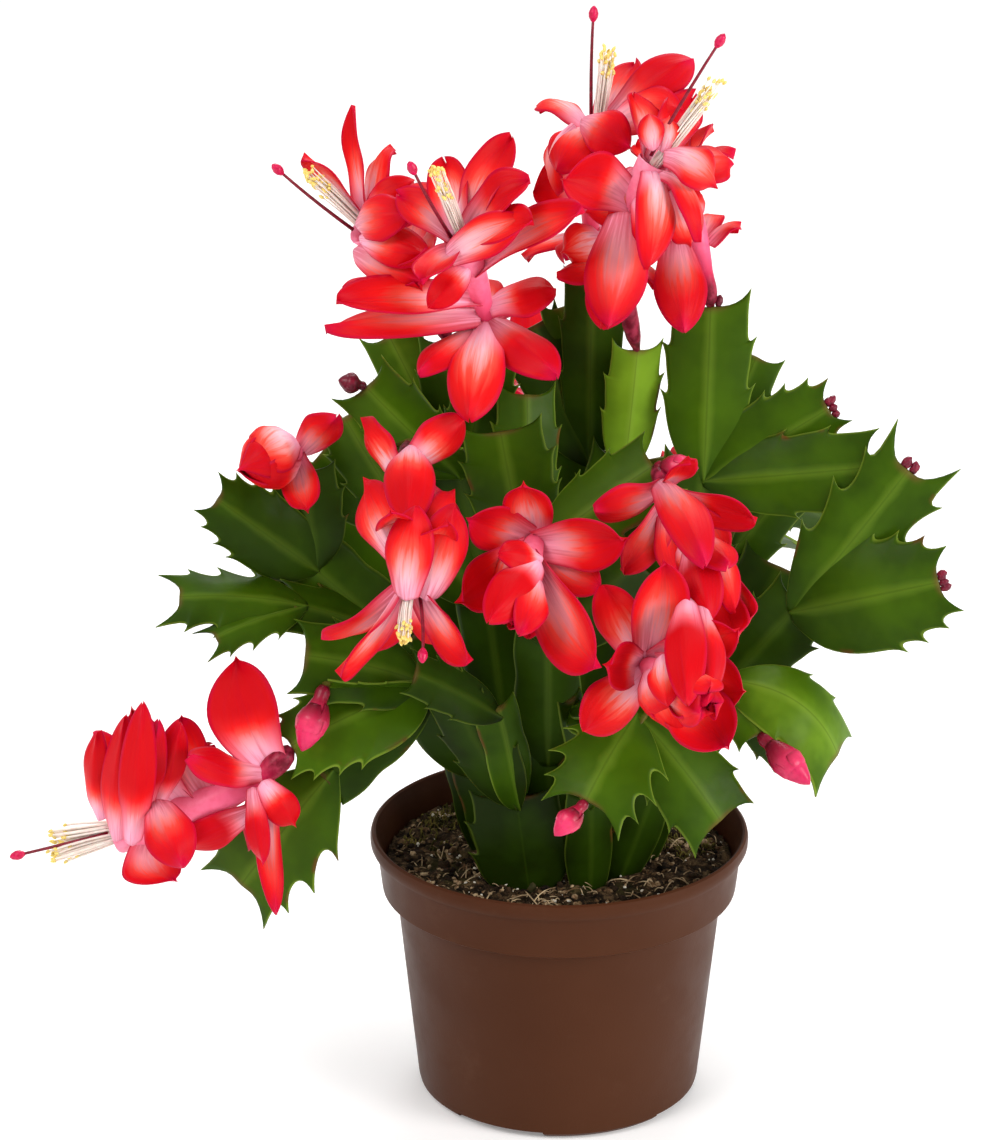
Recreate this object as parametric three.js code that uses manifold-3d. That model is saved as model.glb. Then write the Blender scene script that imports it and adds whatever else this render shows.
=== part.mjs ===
// A christmas cactus in flower, standing in a thin plastic nursery pot.
// Millimetres, +Z up, origin in the middle of the pot's underside, the viewer on the -Y side.
import * as THREE from 'three';
import { mergeVertices } from 'three/addons/utils/BufferGeometryUtils.js';
import Module from 'manifold-3d';

const wasm = await Module();
wasm.setup();

// ---- driving dimensions -------------------------------------------------------------------

const GAP = 0.3; // clearance between neighbouring pieces

const POT_HEIGHT = 88;
const RIM_RADIUS = 60; // over the bead at the mouth
const BEAD_HEIGHT = 5.5;
const LIP_HEIGHT = 19; // the wider band below the mouth
const LIP_TOP_RADIUS = 57.8;
const LIP_FOOT_RADIUS = 56.3;
const BODY_TOP_RADIUS = 51.8;
const BODY_FOOT_RADIUS = 45;
const FOOT_ROUNDING = 4;
const POT_WALL = 1.6;
const POT_SIDES = 24;
const NOTCH_HEIGHT = 2.5; // the raised drainage channels between the four feet
const NOTCH_START = 28;
const NOTCH_HALF_ANGLE = THREE.MathUtils.degToRad(20);
const FIRST_NOTCH = THREE.MathUtils.degToRad(63.5);
const DRAIN_RADIUS = 3;
const DRAIN_DISTANCE = 37;

const SOIL_EDGE = 78.5; // height of the soil at the pot wall
const SOIL_MOUND = 2.5;
const STEM_FOOT_RADIUS = 3; // the old woody base of each cutting
const STEM_FOOT_DEPTH = 70; // height at which it ends in the soil
const STEM_FOOT_TOP = 87;
const FIRST_BLADE = 80; // height at which the lowest green segment starts

const RIB_THICKNESS = 2.4; // of a green segment at its midrib
const TIP_THICKNESS = 1.6; // of a green segment where its flowers and the next segments grow
const PETAL_THICKNESS = 1.8; // along the middle of a petal
const WORN_BELOW = 170; // segments that carry others and end under this height are old ones
const SEGMENT_SEAT = 0.86; // how far along a segment the next ones are rooted in it
const AREOLE = 0.95; // how far along a segment its flowering tip lies

// ---- vectors, random draws and solids -----------------------------------------------------

const vector = (point) => new THREE.Vector3(...point);

let randomState = 20241;
function random() {
  randomState = (randomState * 16807) % 2147483647;
  return randomState / 2147483647;
}
const jitter = (amount) => (random() * 2 - 1) * amount;

function solidOf(geometry) {
  const bare = geometry.clone();
  bare.deleteAttribute('normal');
  bare.deleteAttribute('uv');
  const merged = mergeVertices(bare, 1e-4);
  const vertProperties = new Float32Array(merged.attributes.position.array);
  const triVerts = new Uint32Array(merged.index.array);
  return new wasm.Manifold(new wasm.Mesh({ numProp: 3, vertProperties, triVerts }));
}

function geometryOf(solid) {
  const mesh = solid.getMesh();
  const geometry = new THREE.BufferGeometry();
  geometry.setAttribute('position', new THREE.BufferAttribute(new Float32Array(mesh.vertProperties), 3));
  geometry.setIndex(new THREE.BufferAttribute(new Uint32Array(mesh.triVerts), 1));
  return geometry;
}

function join(solids) {
  return solids.reduce((whole, solid) => whole.add(solid));
}

// The largest connected body of a solid: loose scraps left by a cut are dropped.
function largestBody(solid) {
  const bodies = solid.decompose();
  return bodies.reduce((best, body) => (body.volume() > best.volume() ? body : best));
}

const group = new THREE.Group();

function addNode(name, solid, colour, roughness) {
  const material = new THREE.MeshStandardMaterial({ color: colour, roughness, metalness: 0 });
  const mesh = new THREE.Mesh(geometryOf(largestBody(solid)), material);
  mesh.name = name;
  group.add(mesh);
}

// A thin blade given its middle surface: points with a normal and a thickness each, its triangles
// and its outer loop, both anticlockwise as seen from the side that the normals point to. Points
// without thickness lie on its sharp edge, where both faces meet.
function bladeOf(points, triangles, loop) {
  const positions = [];
  const addVertex = ({ at, normal, thickness }, side) => {
    const place = at.clone().addScaledVector(normal, thickness * side);
    return positions.push(place.x, place.y, place.z) / 3 - 1;
  };
  const front = points.map((point) => addVertex(point, 0.5));
  const back = points.map((point, k) => (point.thickness > 0 ? addVertex(point, -0.5) : front[k]));
  const index = [];
  const addTriangle = (a, b, c) => {
    if (a !== b && b !== c && c !== a) {
      index.push(a, b, c);
    }
  };
  for (const [a, b, c] of triangles) {
    addTriangle(front[a], front[b], front[c]);
    addTriangle(back[c], back[b], back[a]);
  }
  loop.forEach((a, k) => {
    const b = loop[(k + 1) % loop.length];
    addTriangle(front[b], front[a], back[a]);
    addTriangle(front[b], back[a], back[b]);
  });
  const geometry = new THREE.BufferGeometry();
  geometry.setAttribute('position', new THREE.Float32BufferAttribute(positions, 3));
  geometry.setIndex(index);
  return solidOf(geometry);
}

// A round body swept along a curve, with its radius given by a function of the way along.
function sweptSolid(curve, radiusAt, sides, rings) {
  const geometry = new THREE.CylinderGeometry(1, 1, 1, sides, rings);
  const position = geometry.attributes.position;
  const reference = new THREE.Vector3(0.31, 0.52, 0.79).normalize();
  for (let i = 0; i < position.count; i += 1) {
    const way = position.getY(i) + 0.5;
    const along = curve.getTangent(way);
    const across = reference.clone().cross(along).normalize();
    const third = across.clone().cross(along);
    const radius = radiusAt(way);
    const place = curve.getPoint(way);
    place.addScaledVector(across, position.getX(i) * radius);
    place.addScaledVector(third, position.getZ(i) * radius);
    position.setXYZ(i, place.x, place.y, place.z);
  }
  return solidOf(geometry);
}

// Values between the stops [way, value] of a list.
function between(stops, way) {
  const next = stops.findIndex(([stop]) => stop >= way);
  if (next <= 0) {
    return stops[Math.max(next, 0)][1];
  }
  const [fromWay, fromValue] = stops[next - 1];
  const [toWay, toValue] = stops[next];
  return THREE.MathUtils.mapLinear(way, fromWay, toWay, fromValue, toValue);
}

// ---- pot ----------------------------------------------------------------------------------

function latheSolid(profile, sides) {
  const points = profile.map(([radius, height]) => new THREE.Vector2(radius, height));
  const geometry = new THREE.LatheGeometry(points, sides);
  geometry.rotateX(Math.PI / 2);
  return solidOf(geometry);
}

// The space of one drainage channel: a sector of a ring under the floor, open at the wall.
function notchSolid(angle) {
  const shape = new THREE.Shape();
  const outer = BODY_FOOT_RADIUS * 1.2;
  shape.absarc(0, 0, outer, angle - NOTCH_HALF_ANGLE, angle + NOTCH_HALF_ANGLE, false);
  shape.absarc(0, 0, NOTCH_START, angle + NOTCH_HALF_ANGLE, angle - NOTCH_HALF_ANGLE, true);
  const below = 1;
  const settings = { depth: NOTCH_HEIGHT + below, bevelEnabled: false, curveSegments: 3 };
  const geometry = new THREE.ExtrudeGeometry(shape, settings);
  geometry.translate(0, 0, -below);
  return solidOf(geometry);
}

function uprightSolid(x, y, radius, low, high, sides) {
  const geometry = new THREE.CylinderGeometry(radius, radius, high - low, sides);
  geometry.rotateX(Math.PI / 2);
  geometry.translate(x, y, (low + high) / 2);
  return solidOf(geometry);
}

const notchAngles = [0, 1, 2, 3].map((quarter) => FIRST_NOTCH + (quarter * Math.PI) / 2);
const lipFoot = POT_HEIGHT - LIP_HEIGHT;
const stepHeight = lipFoot + POT_WALL; // inside, where the body widens to the lip
const bodyInnerFoot = BODY_FOOT_RADIUS - POT_WALL;
const bodyInnerTop = BODY_TOP_RADIUS - POT_WALL;
const lipInnerFoot = LIP_FOOT_RADIUS - POT_WALL;
const lipInnerTop = LIP_TOP_RADIUS - POT_WALL;
const floorTop = NOTCH_HEIGHT + POT_WALL;

function makePot() {
  const profile = [
    [0, 0],
    [BODY_FOOT_RADIUS - FOOT_ROUNDING, 0],
    [BODY_FOOT_RADIUS - FOOT_ROUNDING * 0.3, FOOT_ROUNDING * 0.3],
    [BODY_FOOT_RADIUS, FOOT_ROUNDING],
    [BODY_TOP_RADIUS, lipFoot],
    [LIP_FOOT_RADIUS, lipFoot - 0.6],
    [LIP_TOP_RADIUS, POT_HEIGHT - BEAD_HEIGHT],
    [RIM_RADIUS, POT_HEIGHT - BEAD_HEIGHT + 0.8],
    [RIM_RADIUS, POT_HEIGHT - 0.6],
    [RIM_RADIUS - 0.6, POT_HEIGHT],
    [RIM_RADIUS - POT_WALL, POT_HEIGHT],
    [lipInnerTop, POT_HEIGHT - BEAD_HEIGHT],
    [lipInnerFoot, stepHeight],
    [bodyInnerTop, stepHeight],
    [bodyInnerFoot, floorTop],
    [0, floorTop],
  ];
  let pot = latheSolid(profile, POT_SIDES);
  for (const angle of notchAngles) {
    const drain = uprightSolid(DRAIN_DISTANCE * Math.cos(angle), DRAIN_DISTANCE * Math.sin(angle),
      DRAIN_RADIUS, 0, floorTop + 1, 6);
    pot = pot.subtract(notchSolid(angle)).subtract(drain);
  }
  return pot;
}

// ---- soil ---------------------------------------------------------------------------------

function soilRelief(x, y) {
  const waves = Math.sin(x * 0.31 + 1.3) * Math.cos(y * 0.27 - 0.4) + 0.6 * Math.sin(x * 0.12 - y * 0.17);
  return 0.8 * waves;
}

function makeSoil(feet) {
  const profile = [
    [0, floorTop + GAP],
    [bodyInnerFoot - GAP, floorTop + GAP],
    [bodyInnerTop - GAP, stepHeight + GAP],
    [lipInnerFoot - GAP, stepHeight + GAP],
    [lipInnerTop - 0.9, SOIL_EDGE],
    [44, SOIL_EDGE + SOIL_MOUND * 0.4],
    [24, SOIL_EDGE + SOIL_MOUND * 0.8],
    [0, SOIL_EDGE + SOIL_MOUND],
  ];
  const points = profile.map(([radius, height]) => new THREE.Vector2(radius, height));
  const geometry = new THREE.LatheGeometry(points, POT_SIDES);
  geometry.rotateX(Math.PI / 2);
  const position = geometry.attributes.position;
  for (let i = 0; i < position.count; i += 1) {
    const distance = Math.hypot(position.getX(i), position.getY(i));
    if (position.getZ(i) > stepHeight + 4 && distance < 50) {
      position.setZ(i, position.getZ(i) + soilRelief(position.getX(i), position.getY(i)));
    }
  }
  let soil = solidOf(geometry);
  for (const [x, y] of feet) {
    soil = soil.subtract(uprightSolid(x, y, STEM_FOOT_RADIUS + GAP * 1.2, STEM_FOOT_DEPTH - GAP,
      POT_HEIGHT, 6));
  }
  return soil;
}

// ---- leafy stems --------------------------------------------------------------------------

// A green segment is a blade, thick along its rib and thin at its edge. Half its outline is given
// as [way along, way out from the rib], with two forward teeth and a horn beside the flowering tip.
const TOOTHED = {
  outline: [[0.16, 0.52], [0.46, 1.03], [0.5, 0.8], [0.72, 1.05], [0.76, 0.8], [1.06, 0.8], [0.97, 0.4]],
  rib: [0, 0.38, 0.7, AREOLE],
};
// The old segments low on a stem have lost their teeth and are nearly hidden.
const WORN = {
  outline: [[0.22, 0.8], [0.8, 0.9], [1.02, 0.4]],
  rib: [0, 0.5, AREOLE],
};

function bladeFrame(base, tip, face, bow) {
  const chord = tip.clone().sub(base).normalize();
  const side = chord.clone().cross(face).normalize();
  const front = side.clone().cross(chord).normalize();
  const middle = base.clone().lerp(tip, 0.5).addScaledVector(front, bow * 2);
  return { curve: new THREE.QuadraticBezierCurve3(base, middle, tip), side };
}

function segmentPoint(frame, along, across, halfWidth, cup) {
  const way = Math.min(along, 1);
  const tangent = frame.curve.getTangent(way);
  const normal = frame.side.clone().cross(tangent).normalize();
  const at = frame.curve.getPoint(way);
  at.addScaledVector(tangent, (along - way) * frame.curve.getLength());
  at.addScaledVector(frame.side, across * halfWidth);
  at.addScaledVector(normal, -cup * across * across);
  const ribThickness = along === AREOLE ? TIP_THICKNESS : RIB_THICKNESS;
  return { at, normal, thickness: along > 0 && across === 0 ? ribThickness : 0 };
}

// The strip of triangles between the rib and one side of the outline.
function halfSegmentTriangles(ribStops, outline, outlineStart, mirrored) {
  const triangles = [];
  let rib = 0;
  let edge = 0;
  while (rib < ribStops.length - 1 || edge < outline.length - 1) {
    const ribNext = rib < ribStops.length - 1 ? ribStops[rib + 1] : Infinity;
    const edgeNext = edge < outline.length - 1 ? outline[edge + 1][0] : Infinity;
    const corner = outlineStart + edge;
    const third = edgeNext <= ribNext ? corner + 1 : rib + 1;
    triangles.push(mirrored ? [rib, third, corner] : [rib, corner, third]);
    if (edgeNext <= ribNext) {
      edge += 1;
    } else {
      rib += 1;
    }
  }
  return triangles;
}

function segmentSolid(frame, width, cup, { outline, rib }) {
  const drawSide = () => outline.map(([along, across]) => [along + jitter(0.018), across * (1 + jitter(0.07))]);
  const right = drawSide();
  const left = drawSide();
  const points = rib.map((along) => segmentPoint(frame, along, 0, width / 2, cup));
  points.push(...right.map(([along, across]) => segmentPoint(frame, along, across, width / 2, cup)));
  points.push(...left.map(([along, across]) => segmentPoint(frame, along, -across, width / 2, cup)));
  const rightStart = rib.length;
  const leftStart = rightStart + right.length;
  const triangles = [
    ...halfSegmentTriangles(rib, right, rightStart, false),
    ...halfSegmentTriangles(rib, left, leftStart, true),
  ];
  const rightLoop = right.map((_, k) => rightStart + k);
  const leftLoop = left.map((_, k) => leftStart + k).reverse();
  return bladeOf(points, triangles, [0, ...rightLoop, rib.length - 1, ...leftLoop]);
}

// Each stem stands in the soil at its foot. Its segments are rows of
// [the segment it grows from or -1 for the foot, its tip, width, the way it faces, bow, cup].
const STEMS = {
  stem_centre: {
    foot: [6, 2],
    segments: [
      [-1, [6, 5, 124], 20, [0.2, -1, 0], 1, 1],
      [0, [8, 9, 168], 27, [-0.3, -1, 0], 1, 1],
      [1, [9, 11, 213], 24, [0.2, -1, 0], 1, 1],
      [2, [9, 10, 268], 19, [0, -1, 0], 2, 1],
      [2, [-1, 18, 257], 14, [0.6, -1, 0], 1, 1],
      [2, [-10, 14, 252], 22, [0.3, -1, 0.1], 2, 1],
      [1, [21, 2, 212], 27, [0, -1, 0.1], 1, 1],
      [6, [23, -2, 249], 17, [0.1, -1, 0], 1, 1],
    ],
  },
  stem_front_centre: {
    foot: [-3, -12],
    segments: [
      [-1, [-4, -13, 122], 18, [0.1, -1, 0], 1, 1],
      [0, [-4, -18, 164], 22, [0, -1, 0.2], 1, 1],
      [1, [-6, -40, 201], 22, [0, -0.9, 0.5], -2, 1],
      [2, [29, -37, 223], 24, [0.1, -0.7, 0.7], 2, 2],
      [1, [-13, -20, 194], 20, [0, -1, 0], 1, 1],
      [4, [-19, -23, 230], 27, [0, -1, 0.1], 2, 1],
      [4, [-11, -7, 237], 21, [0.4, -1, 0], 1, 1],
    ],
  },
  stem_left_top: {
    foot: [-14, 8],
    segments: [
      [-1, [-17, 9, 124], 18, [-0.3, -1, 0], 1, 1],
      [0, [-23, 8, 168], 22, [-0.2, -1, 0], 1, 1],
      [1, [-32, 5, 211], 24, [-0.2, -1, 0.1], 1, 1],
      [2, [-61, -5, 238], 22, [-0.3, -0.9, 0.4], 3, 1],
      [2, [-54, 17, 248], 20, [0, -1, 0.1], 1, 1],
      [2, [-35, 7, 249], 20, [0, -1, 0], 1, 1],
      [2, [-21, -9, 249], 19, [0, -1, 0.2], 1, 1],
      [2, [-47, -42, 231], 18, [-0.3, -0.4, 0.9], 3, 1],
      [1, [-51, 2, 195], 22, [-0.2, -1, 0.3], 1, 1],
      [8, [-67, -4, 228], 22, [-0.1, -1, 0.1], 1, 1],
    ],
  },
  stem_left: {
    foot: [-19, -2],
    segments: [
      [-1, [-31, -3, 119], 18, [-0.2, -1, 0], 1, 1],
      [0, [-49, -6, 157], 24, [-0.3, -0.9, 0.3], 2, 1],
      [1, [-80, -12, 184], 26, [-0.2, -0.9, 0.5], 2, 1],
      [2, [-106, -24, 213], 24, [-0.2, -0.9, 0.5], 3, 2],
      [2, [-79, -11, 213], 22, [0, -1, 0.1], 1, 1],
      [1, [-84, -27, 174], 20, [0, -0.6, 0.8], 3, 1],
      [5, [-118, -31, 177], 20, [0, -0.6, 0.8], 3, 2],
      [5, [-106, -40, 167], 14, [0, -0.6, 0.8], 2, 1],
    ],
  },
  stem_left_low: {
    foot: [-15, -13],
    segments: [
      [-1, [-27, -17, 120], 18, [-0.3, -0.9, 0], 1, 1],
      [0, [-44, -26, 152], 24, [-0.3, -0.8, 0.5], 2, 1],
      [1, [-80, -42, 163], 26, [0, -0.75, 0.65], 4, 2],
      [1, [-84, -52, 136], 27, [-0.1, -0.8, 0.6], 4, 2],
      [1, [-74, -42, 121], 22, [0, -0.9, 0.4], 4, 2],
      [4, [-100, -32, 81], 31, [-0.2, -0.9, 0.3], 3, 2],
      [1, [-73, -48, 156], 12, [-0.2, -0.5, -0.8], 0, 1],
    ],
  },
  stem_left_centre: {
    foot: [-9, -26],
    segments: [
      [-1, [-14, -27, 112], 30, [0, -1, 0.1], 1, 1],
      [0, [-32, -37, 146], 20, [-0.3, -1, 0], 1, 1],
      [0, [-20, -38, 146], 15, [0.5, -1, 0], 1, 1],
      [2, [-46, -48, 160], 16, [0, -0.7, 0.7], 2, 1],
    ],
  },
  stem_front: {
    foot: [9, -24],
    segments: [
      [-1, [9, -31, 114], 16, [0.3, -1, 0], 1, 1],
      [0, [2, -36, 148], 12, [0.8, -0.6, 0], 1, 1],
      [1, [26, -60, 149], 22, [-0.1, -0.6, 0.8], 3, 1],
      [2, [6, -80, 130], 30, [-0.2, -0.85, 0.5], 3, 2],
      [2, [48, -70, 119], 27, [0.3, -0.85, 0.45], 3, 2],
      [1, [22, -71, 171], 18, [0, -0.5, 0.85], -2, 1],
    ],
  },
  stem_right_top: {
    foot: [19, 8],
    segments: [
      [-1, [29, 5, 123], 20, [0.2, -1, 0], 1, 1],
      [0, [36, 0, 166], 30, [-0.2, -1, 0], 1, 1],
      [1, [45, -4, 213], 29, [0.1, -1, 0], 1, 1],
      [2, [45, 0, 263], 26, [0, -1, 0.05], 2, 1],
      [2, [61, 16, 241], 19, [-0.2, -1, 0], 1, 1],
      [2, [83, -6, 231], 25, [0, -1, 0.2], 2, 1],
      [2, [96, -18, 215], 25, [0, -0.95, 0.3], 3, 1],
      [1, [68, 8, 197], 22, [0, -1, 0], 1, 1],
    ],
  },
  stem_right_low: {
    foot: [22, -6],
    segments: [
      [-1, [34, -10, 116], 18, [0.2, -1, 0], 1, 1],
      [0, [52, -14, 146], 22, [0, -1, 0.1], 1, 1],
      [1, [74, -20, 173], 24, [0, -1, 0.2], 1, 1],
      [2, [106, -22, 218], 28, [0, -1, 0.1], 2, 1],
      [2, [116, -36, 185], 34, [0.1, -0.9, 0.35], 3, 2],
    ],
  },
  stem_right_front: {
    foot: [17, -17],
    segments: [
      [-1, [31, -24, 118], 16, [0.2, -1, 0], 1, 1],
      [0, [51, -37, 158], 20, [0.2, -1, 0.2], 1, 1],
      [1, [84, -42, 128], 27, [0.5, -0.6, 0.6], 13, 2],
      [1, [60, -54, 141], 17, [0.2, -0.8, 0.5], 3, 1],
      [1, [70, -36, 128], 15, [0.2, -0.9, 0.2], 4, 1],
    ],
  },
  stem_back_right: {
    foot: [15, 17],
    segments: [
      [-1, [25, 21, 120], 18, [0.2, 1, 0], 1, 1],
      [0, [42, 32, 158], 24, [0.3, 1, 0], 2, 1],
      [1, [66, 42, 188], 24, [0.3, 0.9, 0.3], 2, 1],
      [2, [90, 52, 202], 24, [0.2, 0.8, 0.5], 3, 1],
      [2, [92, 60, 168], 26, [0.3, 0.8, 0.5], 4, 2],
      [1, [48, 70, 166], 26, [0.2, 0.6, 0.8], 4, 2],
      [5, [74, 98, 146], 26, [0.3, 0.7, 0.6], 4, 2],
      [1, [32, 42, 200], 26, [0.1, 1, 0.1], 2, 1],
    ],
  },
  stem_back: {
    foot: [0, 23],
    segments: [
      [-1, [1, 29, 122], 18, [0.1, 1, 0], 1, 1],
      [0, [-3, 36, 166], 24, [-0.2, 1, 0], 2, 1],
      [1, [6, 46, 208], 24, [0.1, 1, 0.1], 2, 1],
      [1, [-20, 50, 204], 22, [-0.2, 1, 0.1], 2, 1],
      [1, [0, 72, 188], 26, [0.1, 0.6, 0.8], 4, 2],
      [4, [16, 104, 172], 26, [0.2, 0.7, 0.7], 4, 2],
      [0, [12, 64, 142], 24, [0, 0.8, 0.6], 4, 2],
      [6, [8, 98, 120], 26, [0, 0.8, 0.6], 4, 2],
    ],
  },
  stem_back_left: {
    foot: [-13, 18],
    segments: [
      [-1, [-25, 22, 120], 18, [-0.2, 1, 0], 1, 1],
      [0, [-43, 32, 156], 24, [-0.3, 1, 0.1], 2, 1],
      [1, [-66, 40, 182], 24, [-0.3, 0.9, 0.3], 2, 1],
      [2, [-92, 50, 188], 26, [-0.3, 0.8, 0.5], 3, 1],
      [1, [-52, 68, 172], 26, [-0.1, 0.6, 0.8], 4, 2],
      [4, [-76, 92, 162], 26, [-0.3, 0.7, 0.7], 4, 2],
      [0, [-42, 56, 134], 24, [-0.2, 0.8, 0.6], 4, 2],
    ],
  },
};

// The curves of a stem's segments, each starting from the tip of the one it grows from.
function stemFrames({ foot, segments }) {
  const frames = [];
  for (const [parent, tip, , face, bow] of segments) {
    const base = parent < 0 ? new THREE.Vector3(foot[0], foot[1], FIRST_BLADE)
      : frames[parent].curve.getPoint(SEGMENT_SEAT);
    frames.push(bladeFrame(base, vector(tip), vector(face), bow));
  }
  return frames;
}

const framesOf = Object.fromEntries(Object.entries(STEMS).map(([name, stem]) => [name, stemFrames(stem)]));

function makeStem(name) {
  const { foot, segments } = STEMS[name];
  const blades = segments.map(([, tip, width, , , cup], k) => {
    const kind = tip[2] < WORN_BELOW && segments.some(([parent]) => parent === k) ? WORN : TOOTHED;
    return segmentSolid(framesOf[name][k], width, cup, kind);
  });
  const woody = uprightSolid(foot[0], foot[1], STEM_FOOT_RADIUS, STEM_FOOT_DEPTH, STEM_FOOT_TOP, 6);
  return join([woody, ...blades]);
}

// ---- blooms -------------------------------------------------------------------------------

const TUBE_RADIUS = [[0, 1.2], [0.1, 2.9], [0.2, 2.9], [0.3, 2.6], [0.6, 4], [1, 5]];
// A petal has one point at its root, three across in two rows, and one at its tip.
const PETAL_ROWS = [[0], [-1, 0, 1], [-1, 0, 1], [0]];
const PETAL_TRIANGLES = [[0, 3, 2], [0, 2, 1], [1, 2, 5], [1, 5, 4], [2, 3, 6], [2, 6, 5], [4, 5, 7], [5, 6, 7]];
const PETAL_LOOP = [0, 3, 6, 7, 4, 1];
const PETAL_WIDTHS = [[0, 0], [0.36, 1.02], [0.8, 1.02], [1, 0]];

// Where a bloom or bud is seated: just clear of the flowering tip of its segment.
function seat(stem, segment, next) {
  const curve = framesOf[stem][segment].curve;
  const tip = curve.getPoint(AREOLE);
  const along = curve.getTangent(AREOLE);
  const away = vector(next).sub(tip).normalize();
  const lean = Math.sin(along.angleTo(away));
  return tip.addScaledVector(away, GAP + 0.7 + 2.2 * lean);
}

// A petal from the flower's tube to its own tip: it leaves along the tube, then turns out. Its face
// is turned to the flower's mouth, or on a rolled petal towards `face`.
function petalSolid(axis, station, tip, width, arch, face) {
  const middle = axis.getPoint(station);
  const along = axis.getTangent(station);
  const out = vector(tip).sub(middle);
  const radial = out.clone().addScaledVector(along, -out.dot(along)).normalize();
  const radius = between(TUBE_RADIUS, station);
  const root = middle.clone().addScaledVector(radial, radius * 0.55);
  const turn = root.clone().addScaledVector(along, arch).addScaledVector(radial, arch * 0.7);
  const curve = new THREE.QuadraticBezierCurve3(root, turn, vector(tip));
  const side = (face ? out.clone().cross(vector(face)) : along.clone().cross(radial)).normalize();
  const points = [];
  PETAL_WIDTHS.forEach(([way, breadth], row) => {
    const tangent = curve.getTangent(way);
    const normal = side.clone().cross(tangent).normalize();
    for (const across of PETAL_ROWS[row]) {
      const at = curve.getPoint(way).addScaledVector(side, (across * breadth * width) / 2);
      at.addScaledVector(normal, across === 0 ? 0 : width * 0.1 * breadth);
      points.push({ at, normal, thickness: across === 0 && breadth > 0 ? PETAL_THICKNESS : 0 });
    }
  });
  return bladeOf(points, PETAL_TRIANGLES, PETAL_LOOP);
}

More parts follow.
